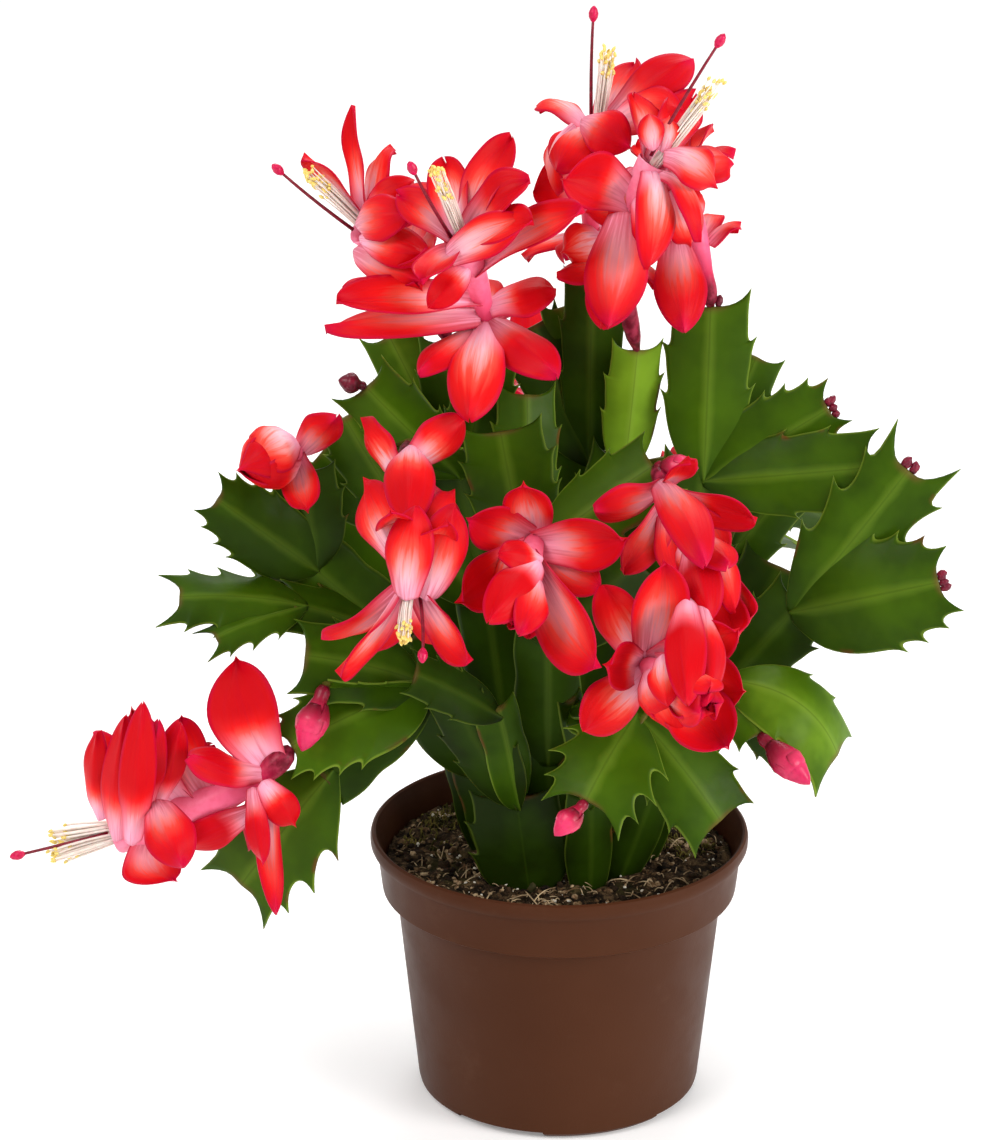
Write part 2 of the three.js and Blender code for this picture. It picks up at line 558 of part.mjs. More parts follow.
// Each flower is seated on [stem, segment], bends through `bend` to its throat, and has petals in
// rows of [place along the tube, tip, width, arch, face]. `stigma` and `anthers` are where its pistil
// ends and its stamens are gathered, on the flowers that are open.
const FLOWERS = {
  flower_1: {
    on: ['stem_left_top', 5],
    bend: [-40, 2, 270],
    throat: [-61, -10, 288],
    petals: [
      [0.95, [-62, 2, 322], 7, 4],
      [0.95, [-52, 8, 309], 11, 4],
      [0.95, [-77, -14, 311], 9, 5],
      [0.9, [-37, -26, 303], 13, 6],
      [0.62, [-38, -32, 286], 13, 6],
      [0.5, [-42, -26, 273], 12, 5],
      [0.4, [-66, 0, 264], 11, 4],
      [0.6, [-40, 18, 290], 12, 4],
      [0.35, [-26, 16, 272], 12, 4],
    ],
    stigma: [-84, -20, 308],
    anthers: [-75, -17, 304],
  },
  flower_2: {
    on: ['stem_left_top', 6],
    bend: [-23, -22, 272],
    throat: [-31, -35, 292],
    petals: [
      [0.3, [-28, -54, 243], 15, 4],
      [0.3, [-2, -40, 251], 14, 3],
      [0.4, [-2, -20, 272], 13, 3],
      [0.45, [-67, -36, 272], 15, 4],
      [0.35, [-71, -24, 261], 13, 3],
      [0.25, [-43, -36, 251], 11, 3],
      [0.3, [-8, -6, 246], 11, 3],
      [0.7, [6, -45, 302], 15, 5],
      [0.95, [-15, -22, 318], 10, 5],
      [0.95, [-10, -36, 309], 11, 5],
      [0.92, [-9, -50, 300], 10, 5],
      [0.95, [-48, -22, 300], 10, 4],
      [0.92, [-41, -54, 283], 10, 4],
    ],
    stigma: [-44, -45, 315],
    anthers: [-38, -42, 311],
  },
  flower_3: {
    on: ['stem_centre', 3],
    bend: [8, 8, 290],
    throat: [10, 5, 317],
    petals: [
      [0.55, [-9, 0, 296], 12, 8, [-0.4, -1, 0.2]],
      [0.3, [0, -6, 278], 11, 3],
      [0.3, [-12, 14, 272], 12, 3],
      [0.35, [22, 22, 266], 14, 3],
      [0.6, [14, 28, 292], 13, 4],
      [0.95, [39, 8, 335], 12, 5, [-0.2, -1, 0.6]],
      [0.95, [36, -4, 322], 13, 5, [0, -1, 0.6]],
      [0.95, [-2, -14, 306], 13, 5],
      [0.95, [-8, 20, 318], 11, 4],
      [0.95, [22, 26, 328], 11, 4],
    ],
    stigma: [9, 8, 348],
    anthers: [12, 6, 336],
  },
  flower_4: {
    on: ['stem_centre', 7],
    bend: [13, -16, 286],
    throat: [27, -18, 311],
    petals: [
      [0.45, [11, -34, 264], 14, 4],
      [0.4, [-2, -22, 277], 11, 3],
      [0.4, [30, -2, 268], 12, 3],
      [0.95, [24, -42, 284], 13, 5],
      [0.95, [40, -34, 290], 11, 6],
      [0.75, [-1, -30, 308], 15, 4, [0, -1, 0.3]],
      [0.85, [51, -12, 308], 13, 7, [0.3, -0.5, 0.9]],
      [0.95, [38, 6, 322], 11, 5],
      [0.95, [20, 0, 324], 10, 5],
    ],
    stigma: [45, -22, 347],
    anthers: [42, -19, 333],
  },
  flower_5: {
    on: ['stem_right_top', 3],
    bend: [43, -2, 278],
    throat: [34, 6, 300],
    petals: [
      [0.5, [38, -26, 262], 14, 4],
      [0.5, [54, 6, 284], 12, 4],
      [0.6, [26, 22, 282], 12, 4],
      [0.95, [52, 4, 308], 11, 4],
      [0.95, [34, 28, 306], 11, 4],
      [0.95, [22, 16, 306], 10, 4],
      [0.95, [46, 20, 310], 10, 4],
    ],
  },
  flower_6: {
    on: ['stem_left', 4],
    bend: [-81, -13, 222],
    throat: [-86, -30, 221],
    petals: [
      [0.35, [-68, -22, 232], 11, 2, [0, -1, 0]],
      [0.35, [-76, -36, 206], 11, 2, [0, -1, 0]],
      [0.5, [-88, -26, 232], 15, 8],
      [0.6, [-94, -40, 227], 15, 7],
      [0.7, [-89, -42, 216], 15, 7],
    ],
  },
  flower_7: {
    on: ['stem_left_top', 7],
    bend: [-47, -60, 222],
    throat: [-44, -84, 198],
    petals: [
      [0.2, [-29, -42, 239], 14, 3],
      [0.3, [-60, -40, 238], 11, 3],
      [0.3, [-58, -62, 208], 14, 3],
      [0.3, [-32, -48, 203], 12, 3],
      [0.6, [-50, -94, 228], 12, 6],
      [0.7, [-34, -90, 224], 12, 5],
      [0.95, [-71, -80, 183], 10, 5],
      [0.95, [-66, -98, 180], 11, 5],
      [0.95, [-27, -92, 181], 14, 4],
      [0.9, [-56, -70, 178], 11, 4],
      [0.95, [-36, -66, 176], 11, 4],
    ],
    stigma: [-41, -99, 186],
    anthers: [-45, -95, 190],
  },
  flower_8: {
    on: ['stem_front_centre', 2],
    bend: [-9, -58, 209],
    throat: [-12, -78, 200],
    petals: [
      [0.35, [-12, -64, 226], 13, 3],
      [0.45, [18, -76, 213], 16, 5],
      [0.35, [-29, -66, 216], 13, 3],
      [0.55, [-32, -84, 196], 15, 4],
      [0.75, [10, -102, 183], 18, 6],
      [0.4, [12, -72, 196], 12, 3],
      [0.4, [-10, -66, 178], 13, 3],
      [0.8, [-17, -98, 197], 12, 6],
      [0.8, [-13, -98, 193], 11, 6],
      [0.9, [-15, -96, 202], 10, 6],
    ],
  },
  flower_9: {
    on: ['stem_front_centre', 3],
    bend: [34, -58, 214],
    throat: [42, -74, 200],
    petals: [
      [0.25, [57, -56, 212], 12, 4],
      [0.25, [9, -62, 216], 13, 4],
      [0.3, [17, -54, 195], 14, 3],
      [0.2, [36, -62, 234], 9, 3],
      [0.6, [47, -86, 209], 11, 6],
      [0.8, [50, -88, 186], 12, 7],
      [0.8, [54, -80, 188], 12, 7],
      [0.8, [44, -84, 184], 11, 7],
    ],
  },
  flower_10: {
    on: ['stem_front', 5],
    bend: [23, -84, 179],
    throat: [32, -100, 176],
    petals: [
      [0.4, [28, -88, 211], 15, 5],
      [0.3, [11, -80, 200], 12, 4],
      [0.4, [11, -102, 184], 13, 4],
      [0.5, [5, -96, 161], 14, 4],
      [0.6, [47, -108, 160], 18, 6],
      [0.4, [50, -94, 192], 14, 4],
      [0.8, [41, -117, 184], 12, 7],
      [0.8, [38, -118, 176], 12, 7],
      [0.8, [44, -114, 177], 12, 7],
    ],
  },
  flower_11: {
    on: ['stem_left_low', 3],
    bend: [-93, -56, 122],
    throat: [-137, -52, 109],
    petals: [
      [0.2, [-98, -50, 166], 19, 5, [0.2, -1, 0.1]],
      [0.25, [-110, -74, 144], 12, 3, [0.3, -0.6, 0.8]],
      [0.25, [-86, -70, 90], 11, 4, [0.3, -1, 0]],
      [0.8, [-142, -44, 139], 13, 5, [-0.2, -1, 0.2]],
      [0.7, [-129, -58, 153], 15, 5, [0, -1, 0.2]],
      [0.6, [-115, -48, 146], 13, 4, [0.2, -1, 0.2]],
      [0.8, [-108, -79, 122], 17, 7, [0.2, -1, 0.3]],
      [0.85, [-116, -66, 99], 16, 6, [0.2, -1, -0.2]],
      [0.8, [-122, -22, 124], 14, 5],
      [0.85, [-124, -26, 97], 14, 4],
    ],
    stigma: [-165, -55, 103],
    anthers: [-154, -53, 105],
  },
  flower_12: {
    on: ['stem_back', 4],
    bend: [-2, 84, 198],
    throat: [-8, 98, 206],
    petals: [
      [0.3, [12, 84, 216], 13, 3],
      [0.3, [-24, 80, 212], 13, 3],
      [0.3, [-18, 92, 184], 13, 3],
      [0.4, [12, 98, 190], 13, 3],
      [0.7, [-26, 108, 196], 13, 5],
      [0.95, [6, 112, 214], 12, 4],
      [0.85, [-10, 106, 230], 12, 4],
      [0.95, [-26, 108, 216], 11, 4],
      [0.95, [-10, 122, 196], 12, 4],
    ],
    stigma: [-14, 126, 224],
    anthers: [-12, 116, 217],
  },
  flower_13: {
    on: ['stem_back_left', 5],
    bend: [-80, 104, 154],
    throat: [-82, 113, 141],
    petals: [
      [0.3, [-60, 106, 162], 13, 3],
      [0.3, [-90, 84, 150], 13, 3],
      [0.3, [-72, 120, 152], 12, 3],
      [0.4, [-100, 94, 142], 12, 3],
      [0.9, [-106, 116, 152], 13, 4],
      [0.95, [-70, 134, 148], 12, 4],
      [0.95, [-68, 116, 122], 12, 4],
      [0.9, [-94, 104, 122], 12, 4],
    ],
    stigma: [-92, 140, 116],
    anthers: [-90, 133, 123],
  },
  flower_14: {
    on: ['stem_back_right', 5],
    bend: [50, 84, 174],
    throat: [52, 96, 180],
    petals: [
      [0.3, [72, 80, 180], 13, 3],
      [0.3, [34, 76, 188], 13, 3],
      [0.35, [60, 92, 158], 12, 3],
      [0.35, [36, 92, 164], 12, 3],
      [0.8, [66, 106, 172], 13, 6],
      [0.8, [40, 106, 172], 12, 6],
      [0.85, [58, 104, 194], 12, 6],
      [0.85, [44, 100, 194], 12, 6],
    ],
  },
};

// Flowers whose petals cross each other are one piece.
const BLOOMS = {
  bloom_top_left: ['flower_1', 'flower_2'],
  bloom_top_right: ['flower_3', 'flower_4'],
  bloom_far_right: ['flower_5'],
  bloom_left: ['flower_6'],
  bloom_front_left: ['flower_7'],
  bloom_front_centre: ['flower_8'],
  bloom_front_right: ['flower_9'],
  bloom_front_low: ['flower_10'],
  bloom_low_left: ['flower_11'],
  bloom_back: ['flower_12'],
  bloom_back_left: ['flower_13'],
  bloom_back_right: ['flower_14'],
};

function flowerAxis(flower) {
  return new THREE.QuadraticBezierCurve3(seat(...flower.on, flower.bend), vector(flower.bend),
    vector(flower.throat));
}

function flowerSolid(flower) {
  const axis = flowerAxis(flower);
  const tube = sweptSolid(axis, (way) => between(TUBE_RADIUS, way), 6, 4);
  const petals = flower.petals.map((petal) => petalSolid(axis, ...petal));
  return join([tube, ...petals]);
}

// A straight thin rod from one point to another.
function rodSolid(from, to, thinEnd, thickEnd, sides) {
  const curve = new THREE.LineCurve3(from, to);
  return sweptSolid(curve, (way) => THREE.MathUtils.lerp(thickEnd, thinEnd, way), sides, 1);
}

// The pistil stands beside the stamens in the throat, both just clear of the tube's end.
function throatPlaces(flower) {
  const axis = flowerAxis(flower);
  const along = axis.getTangent(1);
  const towards = vector(flower.stigma).sub(vector(flower.anthers));
  const side = towards.addScaledVector(along, -towards.dot(along)).normalize();
  const middle = vector(flower.throat).addScaledVector(along, GAP + 0.1);
  return { along, side, middle };
}

function pistilSolid(flower) {
  const { along, side, middle } = throatPlaces(flower);
  const foot = middle.clone().addScaledVector(side, 2);
  const end = vector(flower.stigma);
  const bend = foot.clone().lerp(end, 0.5).addScaledVector(side, 0.8).addScaledVector(along, 0.8);
  const curve = new THREE.QuadraticBezierCurve3(foot, bend, end);
  const style = sweptSolid(curve, (way) => THREE.MathUtils.lerp(0.6, 0.45, way), 4, 2);
  const knob = new THREE.SphereGeometry(1.5, 5, 3);
  knob.scale(1, 1, 1.9);
  const turn = new THREE.Quaternion().setFromUnitVectors(new THREE.Vector3(0, 0, 1), curve.getTangent(1));
  knob.applyQuaternion(turn);
  knob.translate(end.x, end.y, end.z);
  return style.add(solidOf(knob));
}

const FILAMENTS = 5;
const FILAMENT = [[0, 0.55], [0.74, 0.5], [0.76, 1.2], [1, 0.6]]; // radius, swelling to the anther

function stamenSolid(flower) {
  const { along, side, middle } = throatPlaces(flower);
  const foot = middle.clone().addScaledVector(side, -1.1);
  const disc = rodSolid(foot, foot.clone().addScaledVector(along, 1.2), 1.5, 1.5, 6);
  const centre = vector(flower.anthers).addScaledVector(side, -2.6);
  const length = foot.distanceTo(centre);
  const direction = centre.clone().sub(foot).normalize();
  const cross = side.clone().cross(direction).normalize();
  const pieces = [disc];
  for (let k = 0; k < FILAMENTS; k += 1) {
    const turn = (k / FILAMENTS) * Math.PI * 2;
    const start = foot.clone().addScaledVector(along, 0.6);
    start.addScaledVector(cross, Math.cos(turn) * 0.8).addScaledVector(side, Math.sin(turn) * 0.8);
    const end = foot.clone().addScaledVector(direction, length * (0.86 + 0.28 * random()));
    end.addScaledVector(cross, Math.cos(turn) * 2.3).addScaledVector(side, Math.sin(turn) * 1.8);
    pieces.push(sweptSolid(new THREE.LineCurve3(start, end), (way) => between(FILAMENT, way), 3, 4));
  }
  return join(pieces);
}

// ---- buds ---------------------------------------------------------------------------------

const BUD_SHAPE = [[0, 0.32], [0.08, 0.5], [0.22, 0.45], [0.5, 1], [0.78, 0.8], [0.93, 0.4], [1, 0.12]];

// Rows of [stem, segment, the way it points, length, radius].
const BUDS = {
  bud_left_top: ['stem_left_top', 3, [-1, -0.3, 0.35], 9, 3],
  bud_left_low: ['stem_left_low', 6, [-0.32, -0.5, -0.8], 21, 4.8],
  bud_front_low: ['stem_front', 3, [-0.9, -0.6, -0.8], 14, 3.6],
  bud_right_low: ['stem_right_front', 3, [0.8, -0.7, -0.6], 22, 4.6],
};

function budSolid([stem, segment, direction, length, radius]) {
  const way = vector(direction).normalize();
  const tip = framesOf[stem][segment].curve.getPoint(AREOLE);
  const foot = seat(stem, segment, tip.clone().add(way).toArray());
  const end = foot.clone().addScaledVector(way, length);
  return sweptSolid(new THREE.LineCurve3(foot, end), (at) => between(BUD_SHAPE, at) * radius, 6, 6);
}

// ---- the whole plant ----------------------------------------------------------------------

addNode('pot', makePot(), 0x5a3828, 0.42);
addNode('soil', makeSoil(Object.values(STEMS).map((stem) => stem.foot)), 0x2e2015, 0.95);
for (const name of Object.keys(STEMS)) {
  addNode(name, makeStem(name), 0x3f6b1c, 0.4);
}
for (const [name, flowers] of Object.entries(BLOOMS)) {
  addNode(name, join(flowers.map((flower) => flowerSolid(FLOWERS[flower]))), 0xe8251c, 0.38);
}
for (const [name, flower] of Object.entries(FLOWERS)) {
  if (flower.stigma) {
    addNode(name.replace('flower', 'pistil'), pistilSolid(flower), 0xa01038, 0.4);
    addNode(name.replace('flower', 'stamens'), stamenSolid(flower), 0xf2e6b0, 0.6);
  }
}
for (const [name, bud] of Object.entries(BUDS)) {
  addNode(name, budSolid(bud), 0xc4164c, 0.4);
}

export default group;
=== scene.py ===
"""A christmas cactus in full flower, standing in a thin brown nursery pot on a pale floor.

The tables give places and sizes in millimetres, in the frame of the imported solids. The green
segments, the petal, the tube and the thread are modelled once, and every copy is laid along its own
curve.
"""
import math
import random

import bmesh
import bpy
import numpy as np
from mathutils import Matrix, Vector
from mathutils.bvhtree import BVHTree


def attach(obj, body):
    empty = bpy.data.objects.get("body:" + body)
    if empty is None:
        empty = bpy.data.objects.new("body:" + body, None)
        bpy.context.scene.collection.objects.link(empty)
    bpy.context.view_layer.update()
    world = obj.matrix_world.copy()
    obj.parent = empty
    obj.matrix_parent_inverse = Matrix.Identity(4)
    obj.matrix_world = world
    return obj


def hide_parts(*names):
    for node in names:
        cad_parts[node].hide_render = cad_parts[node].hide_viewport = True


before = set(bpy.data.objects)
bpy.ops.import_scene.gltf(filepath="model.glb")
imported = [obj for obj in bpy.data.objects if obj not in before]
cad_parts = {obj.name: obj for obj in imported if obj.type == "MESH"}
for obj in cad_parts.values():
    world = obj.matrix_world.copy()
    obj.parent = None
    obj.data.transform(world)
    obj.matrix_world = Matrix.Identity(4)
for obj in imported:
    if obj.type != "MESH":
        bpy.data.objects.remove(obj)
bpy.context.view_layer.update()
bpy.ops.object.select_all(action="DESELECT")

MM = 0.001
draw = random.Random(20241)

# ---- camera and light -----------------------------------------------------------------------

AIM = Vector((-0.0188, 0.0, 0.1749))
CAMERA_DISTANCE = 1.3
CAMERA_PITCH = math.radians(20.43)
FOCAL_LENGTH = 132.36
SENSOR_WIDTH = 36.0
ROOM_LIGHT = 0.62
# The soft boxes: name, place, width, power and colour.
SOFT_BOXES = [
    ("key_left", (-0.9, -0.9, 1.35), 0.8, 13.0, (1.0, 0.985, 0.96)),
    ("fill_right", (1.15, -0.7, 0.6), 0.7, 12.5, (1.0, 0.985, 0.97)),
    ("top_back", (0.1, 0.9, 1.5), 0.9, 15.0, (1.0, 1.0, 1.0)),
]


def set_camera():
    lens = bpy.data.cameras.new("portrait_lens")
    lens.lens = FOCAL_LENGTH
    lens.sensor_width = SENSOR_WIDTH
    lens.clip_start = 0.05
    lens.clip_end = 20.0
    camera = bpy.data.objects.new("portrait_camera", lens)
    back = Vector((0.0, -math.cos(CAMERA_PITCH), math.sin(CAMERA_PITCH)))
    camera.location = AIM + back * CAMERA_DISTANCE
    camera.rotation_euler = (math.pi / 2 - CAMERA_PITCH, 0.0, 0.0)
    bpy.context.scene.collection.objects.link(camera)
    bpy.context.scene.camera = camera


def add_soft_box(name, place, width, power, tone):
    panel = bpy.data.lights.new(name, "AREA")
    panel.shape = "DISK"
    panel.size = width
    panel.energy = power
    panel.color = tone
    lamp = bpy.data.objects.new(name, panel)
    lamp.location = place
    lamp.rotation_euler = (AIM - Vector(place)).to_track_quat("-Z", "Y").to_euler()
    bpy.context.scene.collection.objects.link(lamp)


def set_studio():
    scene = bpy.context.scene
    scene.view_settings.view_transform = "Standard"
    world = bpy.data.worlds.new("white_room")
    world.use_nodes = True
    walls = world.node_tree.nodes["Background"]
    walls.inputs["Color"].default_value = (1.0, 1.0, 1.0, 1.0)
    walls.inputs["Strength"].default_value = ROOM_LIGHT
    scene.world = world
    for box in SOFT_BOXES:
        add_soft_box(*box)


set_camera()
set_studio()

# ---- the plant, in millimetres --------------------------------------------------------------

# Each stem stands in the soil at its foot. Its segments are rows of (the segment it grows from or -1
# for the foot, its tip, width, the way it faces, bow, cup). Bow and cup are 1 where they are left
# out. Then come two strings with a sign for each segment: its tone from 0, dark, to 9, light, and
# its outline, which is toothed, clawed, rounded or shouldered.
STEMS = {
    "stem_centre": ((6, 2), [
        (-1, (6, 5, 124), 20, (0.2, -1, 0)), (0, (8, 9, 168), 27, (-0.3, -1, 0)),
        (1, (9, 11, 213), 24, (0.2, -1, 0)), (2, (9, 10, 268), 19, (0, -1, 0), 2),
        (2, (-1, 18, 257), 14, (0.6, -1, 0)), (2, (-10, 14, 252), 22, (0.3, -1, 0.1), 2),
        (1, (21, 2, 212), 27, (0, -1, 0.1)), (6, (23, -2, 249), 17, (0.1, -1, 0)),
    ], "12335249", "sstttttt"),
    "stem_front_centre": ((-3, -12), [
        (-1, (-4, -13, 122), 18, (0.1, -1, 0)), (0, (-4, -18, 164), 22, (0, -1, 0.2)),
        (1, (-6, -40, 201), 22, (0, -0.9, 0.5), -2), (2, (29, -37, 223), 24, (0.1, -0.7, 0.7), 2, 2),
        (1, (-13, -20, 194), 20, (0, -1, 0)), (4, (-19, -23, 230), 27, (0, -1, 0.1), 2),
        (4, (-11, -7, 237), 21, (0.4, -1, 0)), (1, (24, -6, 182), 27, (0.1, -1, 0.2), 2),
    ], "12352451", "sstttttt"),
    "stem_left_top": ((-14, 8), [
        (-1, (-17, 9, 124), 18, (-0.3, -1, 0)), (0, (-23, 8, 168), 22, (-0.2, -1, 0)),
        (1, (-32, 5, 211), 24, (-0.2, -1, 0.1)), (2, (-61, -5, 238), 22, (-0.3, -0.9, 0.4), 3),
        (2, (-54, 17, 248), 20, (0, -1, 0.1)), (2, (-35, 7, 249), 20, (0, -1, 0)),
        (2, (-21, -9, 249), 19, (0, -1, 0.2)), (2, (-47, -42, 231), 18, (-0.3, -0.4, 0.9), 3),
        (1, (-51, 2, 195), 22, (-0.2, -1, 0.3)), (8, (-67, -4, 228), 22, (-0.1, -1, 0.1)),
        (8, (-75, 3, 214), 26, (-0.1, -1, 0.2), 2),
    ], "12256444343", "ssttttttttt"),
    "stem_left": ((-19, -2), [
        (-1, (-31, -3, 119), 18, (-0.2, -1, 0)), (0, (-49, -6, 157), 24, (-0.3, -0.9, 0.3), 2),
        (1, (-80, -12, 184), 26, (-0.2, -0.9, 0.5), 2), (2, (-106, -24, 208), 23, (-0.2, -0.9, 0.5), 3, 2),
        (2, (-79, -11, 213), 22, (0, -1, 0.1)), (1, (-84, -27, 174), 20, (0, -0.6, 0.8), 3),
        (5, (-118, -31, 177), 20, (0, -0.6, 0.8), 3, 2), (5, (-106, -40, 167), 14, (0, -0.6, 0.8), 2),
    ], "12332344", "sssrttcc"),
    "stem_left_low": ((-15, -13), [
        (-1, (-27, -17, 120), 18, (-0.3, -0.9, 0)), (0, (-44, -26, 152), 24, (-0.3, -0.8, 0.5), 2),
        (1, (-80, -42, 163), 26, (0, -0.75, 0.65), 4, 2), (1, (-84, -52, 136), 27, (-0.1, -0.8, 0.6), 4, 2),
        (1, (-74, -42, 121), 22, (0, -0.9, 0.4), 4, 2), (4, (-100, -32, 81), 31, (-0.2, -0.9, 0.3), 3, 2),
        (1, (-73, -48, 156), 12, (-0.2, -0.5, -0.8), 0),
    ], "1246254", "sstrsct"),
    "stem_left_centre": ((-9, -26), [
        (-1, (-14, -27, 112), 30, (0, -1, 0.1)), (0, (-32, -37, 146), 20, (-0.3, -1, 0)),
        (0, (-20, -38, 146), 15, (0.5, -1, 0)), (2, (-46, -48, 160), 16, (0, -0.7, 0.7), 2),
    ], "0142", "ttst"),
    "stem_front": ((9, -24), [
        (-1, (9, -31, 114), 16, (0.3, -1, 0)), (0, (2, -36, 148), 12, (0.8, -0.6, 0)),
        (1, (26, -60, 149), 22, (-0.1, -0.6, 0.8), 3), (2, (6, -80, 130), 30, (-0.2, -0.85, 0.5), 3, 2),
        (2, (48, -70, 119), 27, (0.3, -0.85, 0.45), 3, 2), (1, (22, -71, 171), 18, (0, -0.5, 0.85), -2),
    ], "124543", "sssctt"),
    "stem_right_top": ((19, 8), [
        (-1, (29, 5, 123), 20, (0.2, -1, 0)), (0, (36, 0, 166), 30, (-0.2, -1, 0)),
        (1, (45, -4, 213), 29, (0.1, -1, 0)), (2, (45, 0, 263), 26, (0, -1, 0.05), 2),
        (2, (61, 16, 241), 19, (-0.2, -1, 0)), (2, (83, -6, 231), 25, (0, -1, 0.2), 2),
        (2, (96, -18, 215), 25, (0, -0.95, 0.3), 3), (1, (68, 8, 197), 22, (0, -1, 0)),
    ], "12355444", "sstttrtt"),
    "stem_right_low": ((22, -6), [
        (-1, (34, -10, 116), 18, (0.2, -1, 0)), (0, (52, -14, 146), 22, (0, -1, 0.1)),
        (1, (74, -20, 173), 24, (0, -1, 0.2)), (2, (106, -22, 218), 28, (0, -1, 0.1), 2),
        (2, (116, -36, 185), 34, (0.1, -0.9, 0.35), 3, 2), (1, (47, 4, 181), 26, (0.1, -1, 0.2), 2),
        (1, (69, 0, 178), 28, (0.1, -1, 0.2), 2),
    ], "1224422", "sstcrtt"),
    "stem_right_front": ((17, -17), [
        (-1, (31, -24, 118), 16, (0.2, -1, 0)), (0, (51, -37, 158), 20, (0.2, -1, 0.2)),
        (1, (84, -42, 128), 27, (0.5, -0.6, 0.6), 13, 2), (1, (60, -54, 141), 17, (0.2, -0.8, 0.5), 3),
        (1, (70, -36, 128), 15, (0.2, -0.9, 0.2), 4),
    ], "12753", "ssttt"),
    "stem_back_right": ((15, 17), [
        (-1, (25, 21, 120), 18, (0.2, 1, 0)), (0, (42, 32, 158), 24, (0.3, 1, 0), 2),
        (1, (66, 42, 188), 24, (0.3, 0.9, 0.3), 2), (2, (90, 52, 202), 24, (0.2, 0.8, 0.5), 3),
        (2, (92, 60, 168), 26, (0.3, 0.8, 0.5), 4, 2), (1, (48, 70, 166), 26, (0.2, 0.6, 0.8), 4, 2),
        (5, (74, 98, 146), 26, (0.3, 0.7, 0.6), 4, 2), (1, (32, 42, 200), 26, (0.1, 1, 0.1), 2),
    ], "23444455", "sstttstt"),
    "stem_back": ((0, 23), [
        (-1, (1, 29, 122), 18, (0.1, 1, 0)), (0, (-3, 36, 166), 24, (-0.2, 1, 0), 2),
        (1, (6, 46, 208), 24, (0.1, 1, 0.1), 2), (1, (-20, 50, 204), 22, (-0.2, 1, 0.1), 2),
        (1, (0, 72, 188), 26, (0.1, 0.6, 0.8), 4, 2), (4, (16, 104, 172), 26, (0.2, 0.7, 0.7), 4, 2),
        (0, (12, 64, 142), 24, (0, 0.8, 0.6), 4, 2), (6, (8, 98, 120), 26, (0, 0.8, 0.6), 4, 2),
    ], "23454455", "ssttttst"),
    "stem_back_left": ((-13, 18), [
        (-1, (-25, 22, 120), 18, (-0.2, 1, 0)), (0, (-43, 32, 156), 24, (-0.3, 1, 0.1), 2),
        (1, (-66, 40, 182), 24, (-0.3, 0.9, 0.3), 2), (2, (-92, 50, 188), 26, (-0.3, 0.8, 0.5), 3),
        (1, (-52, 68, 172), 26, (-0.1, 0.6, 0.8), 4, 2), (4, (-76, 92, 162), 26, (-0.3, 0.7, 0.7), 4, 2),
        (0, (-42, 56, 134), 24, (-0.2, 0.8, 0.6), 4, 2),
    ], "2344455", "ssttttt"),
}

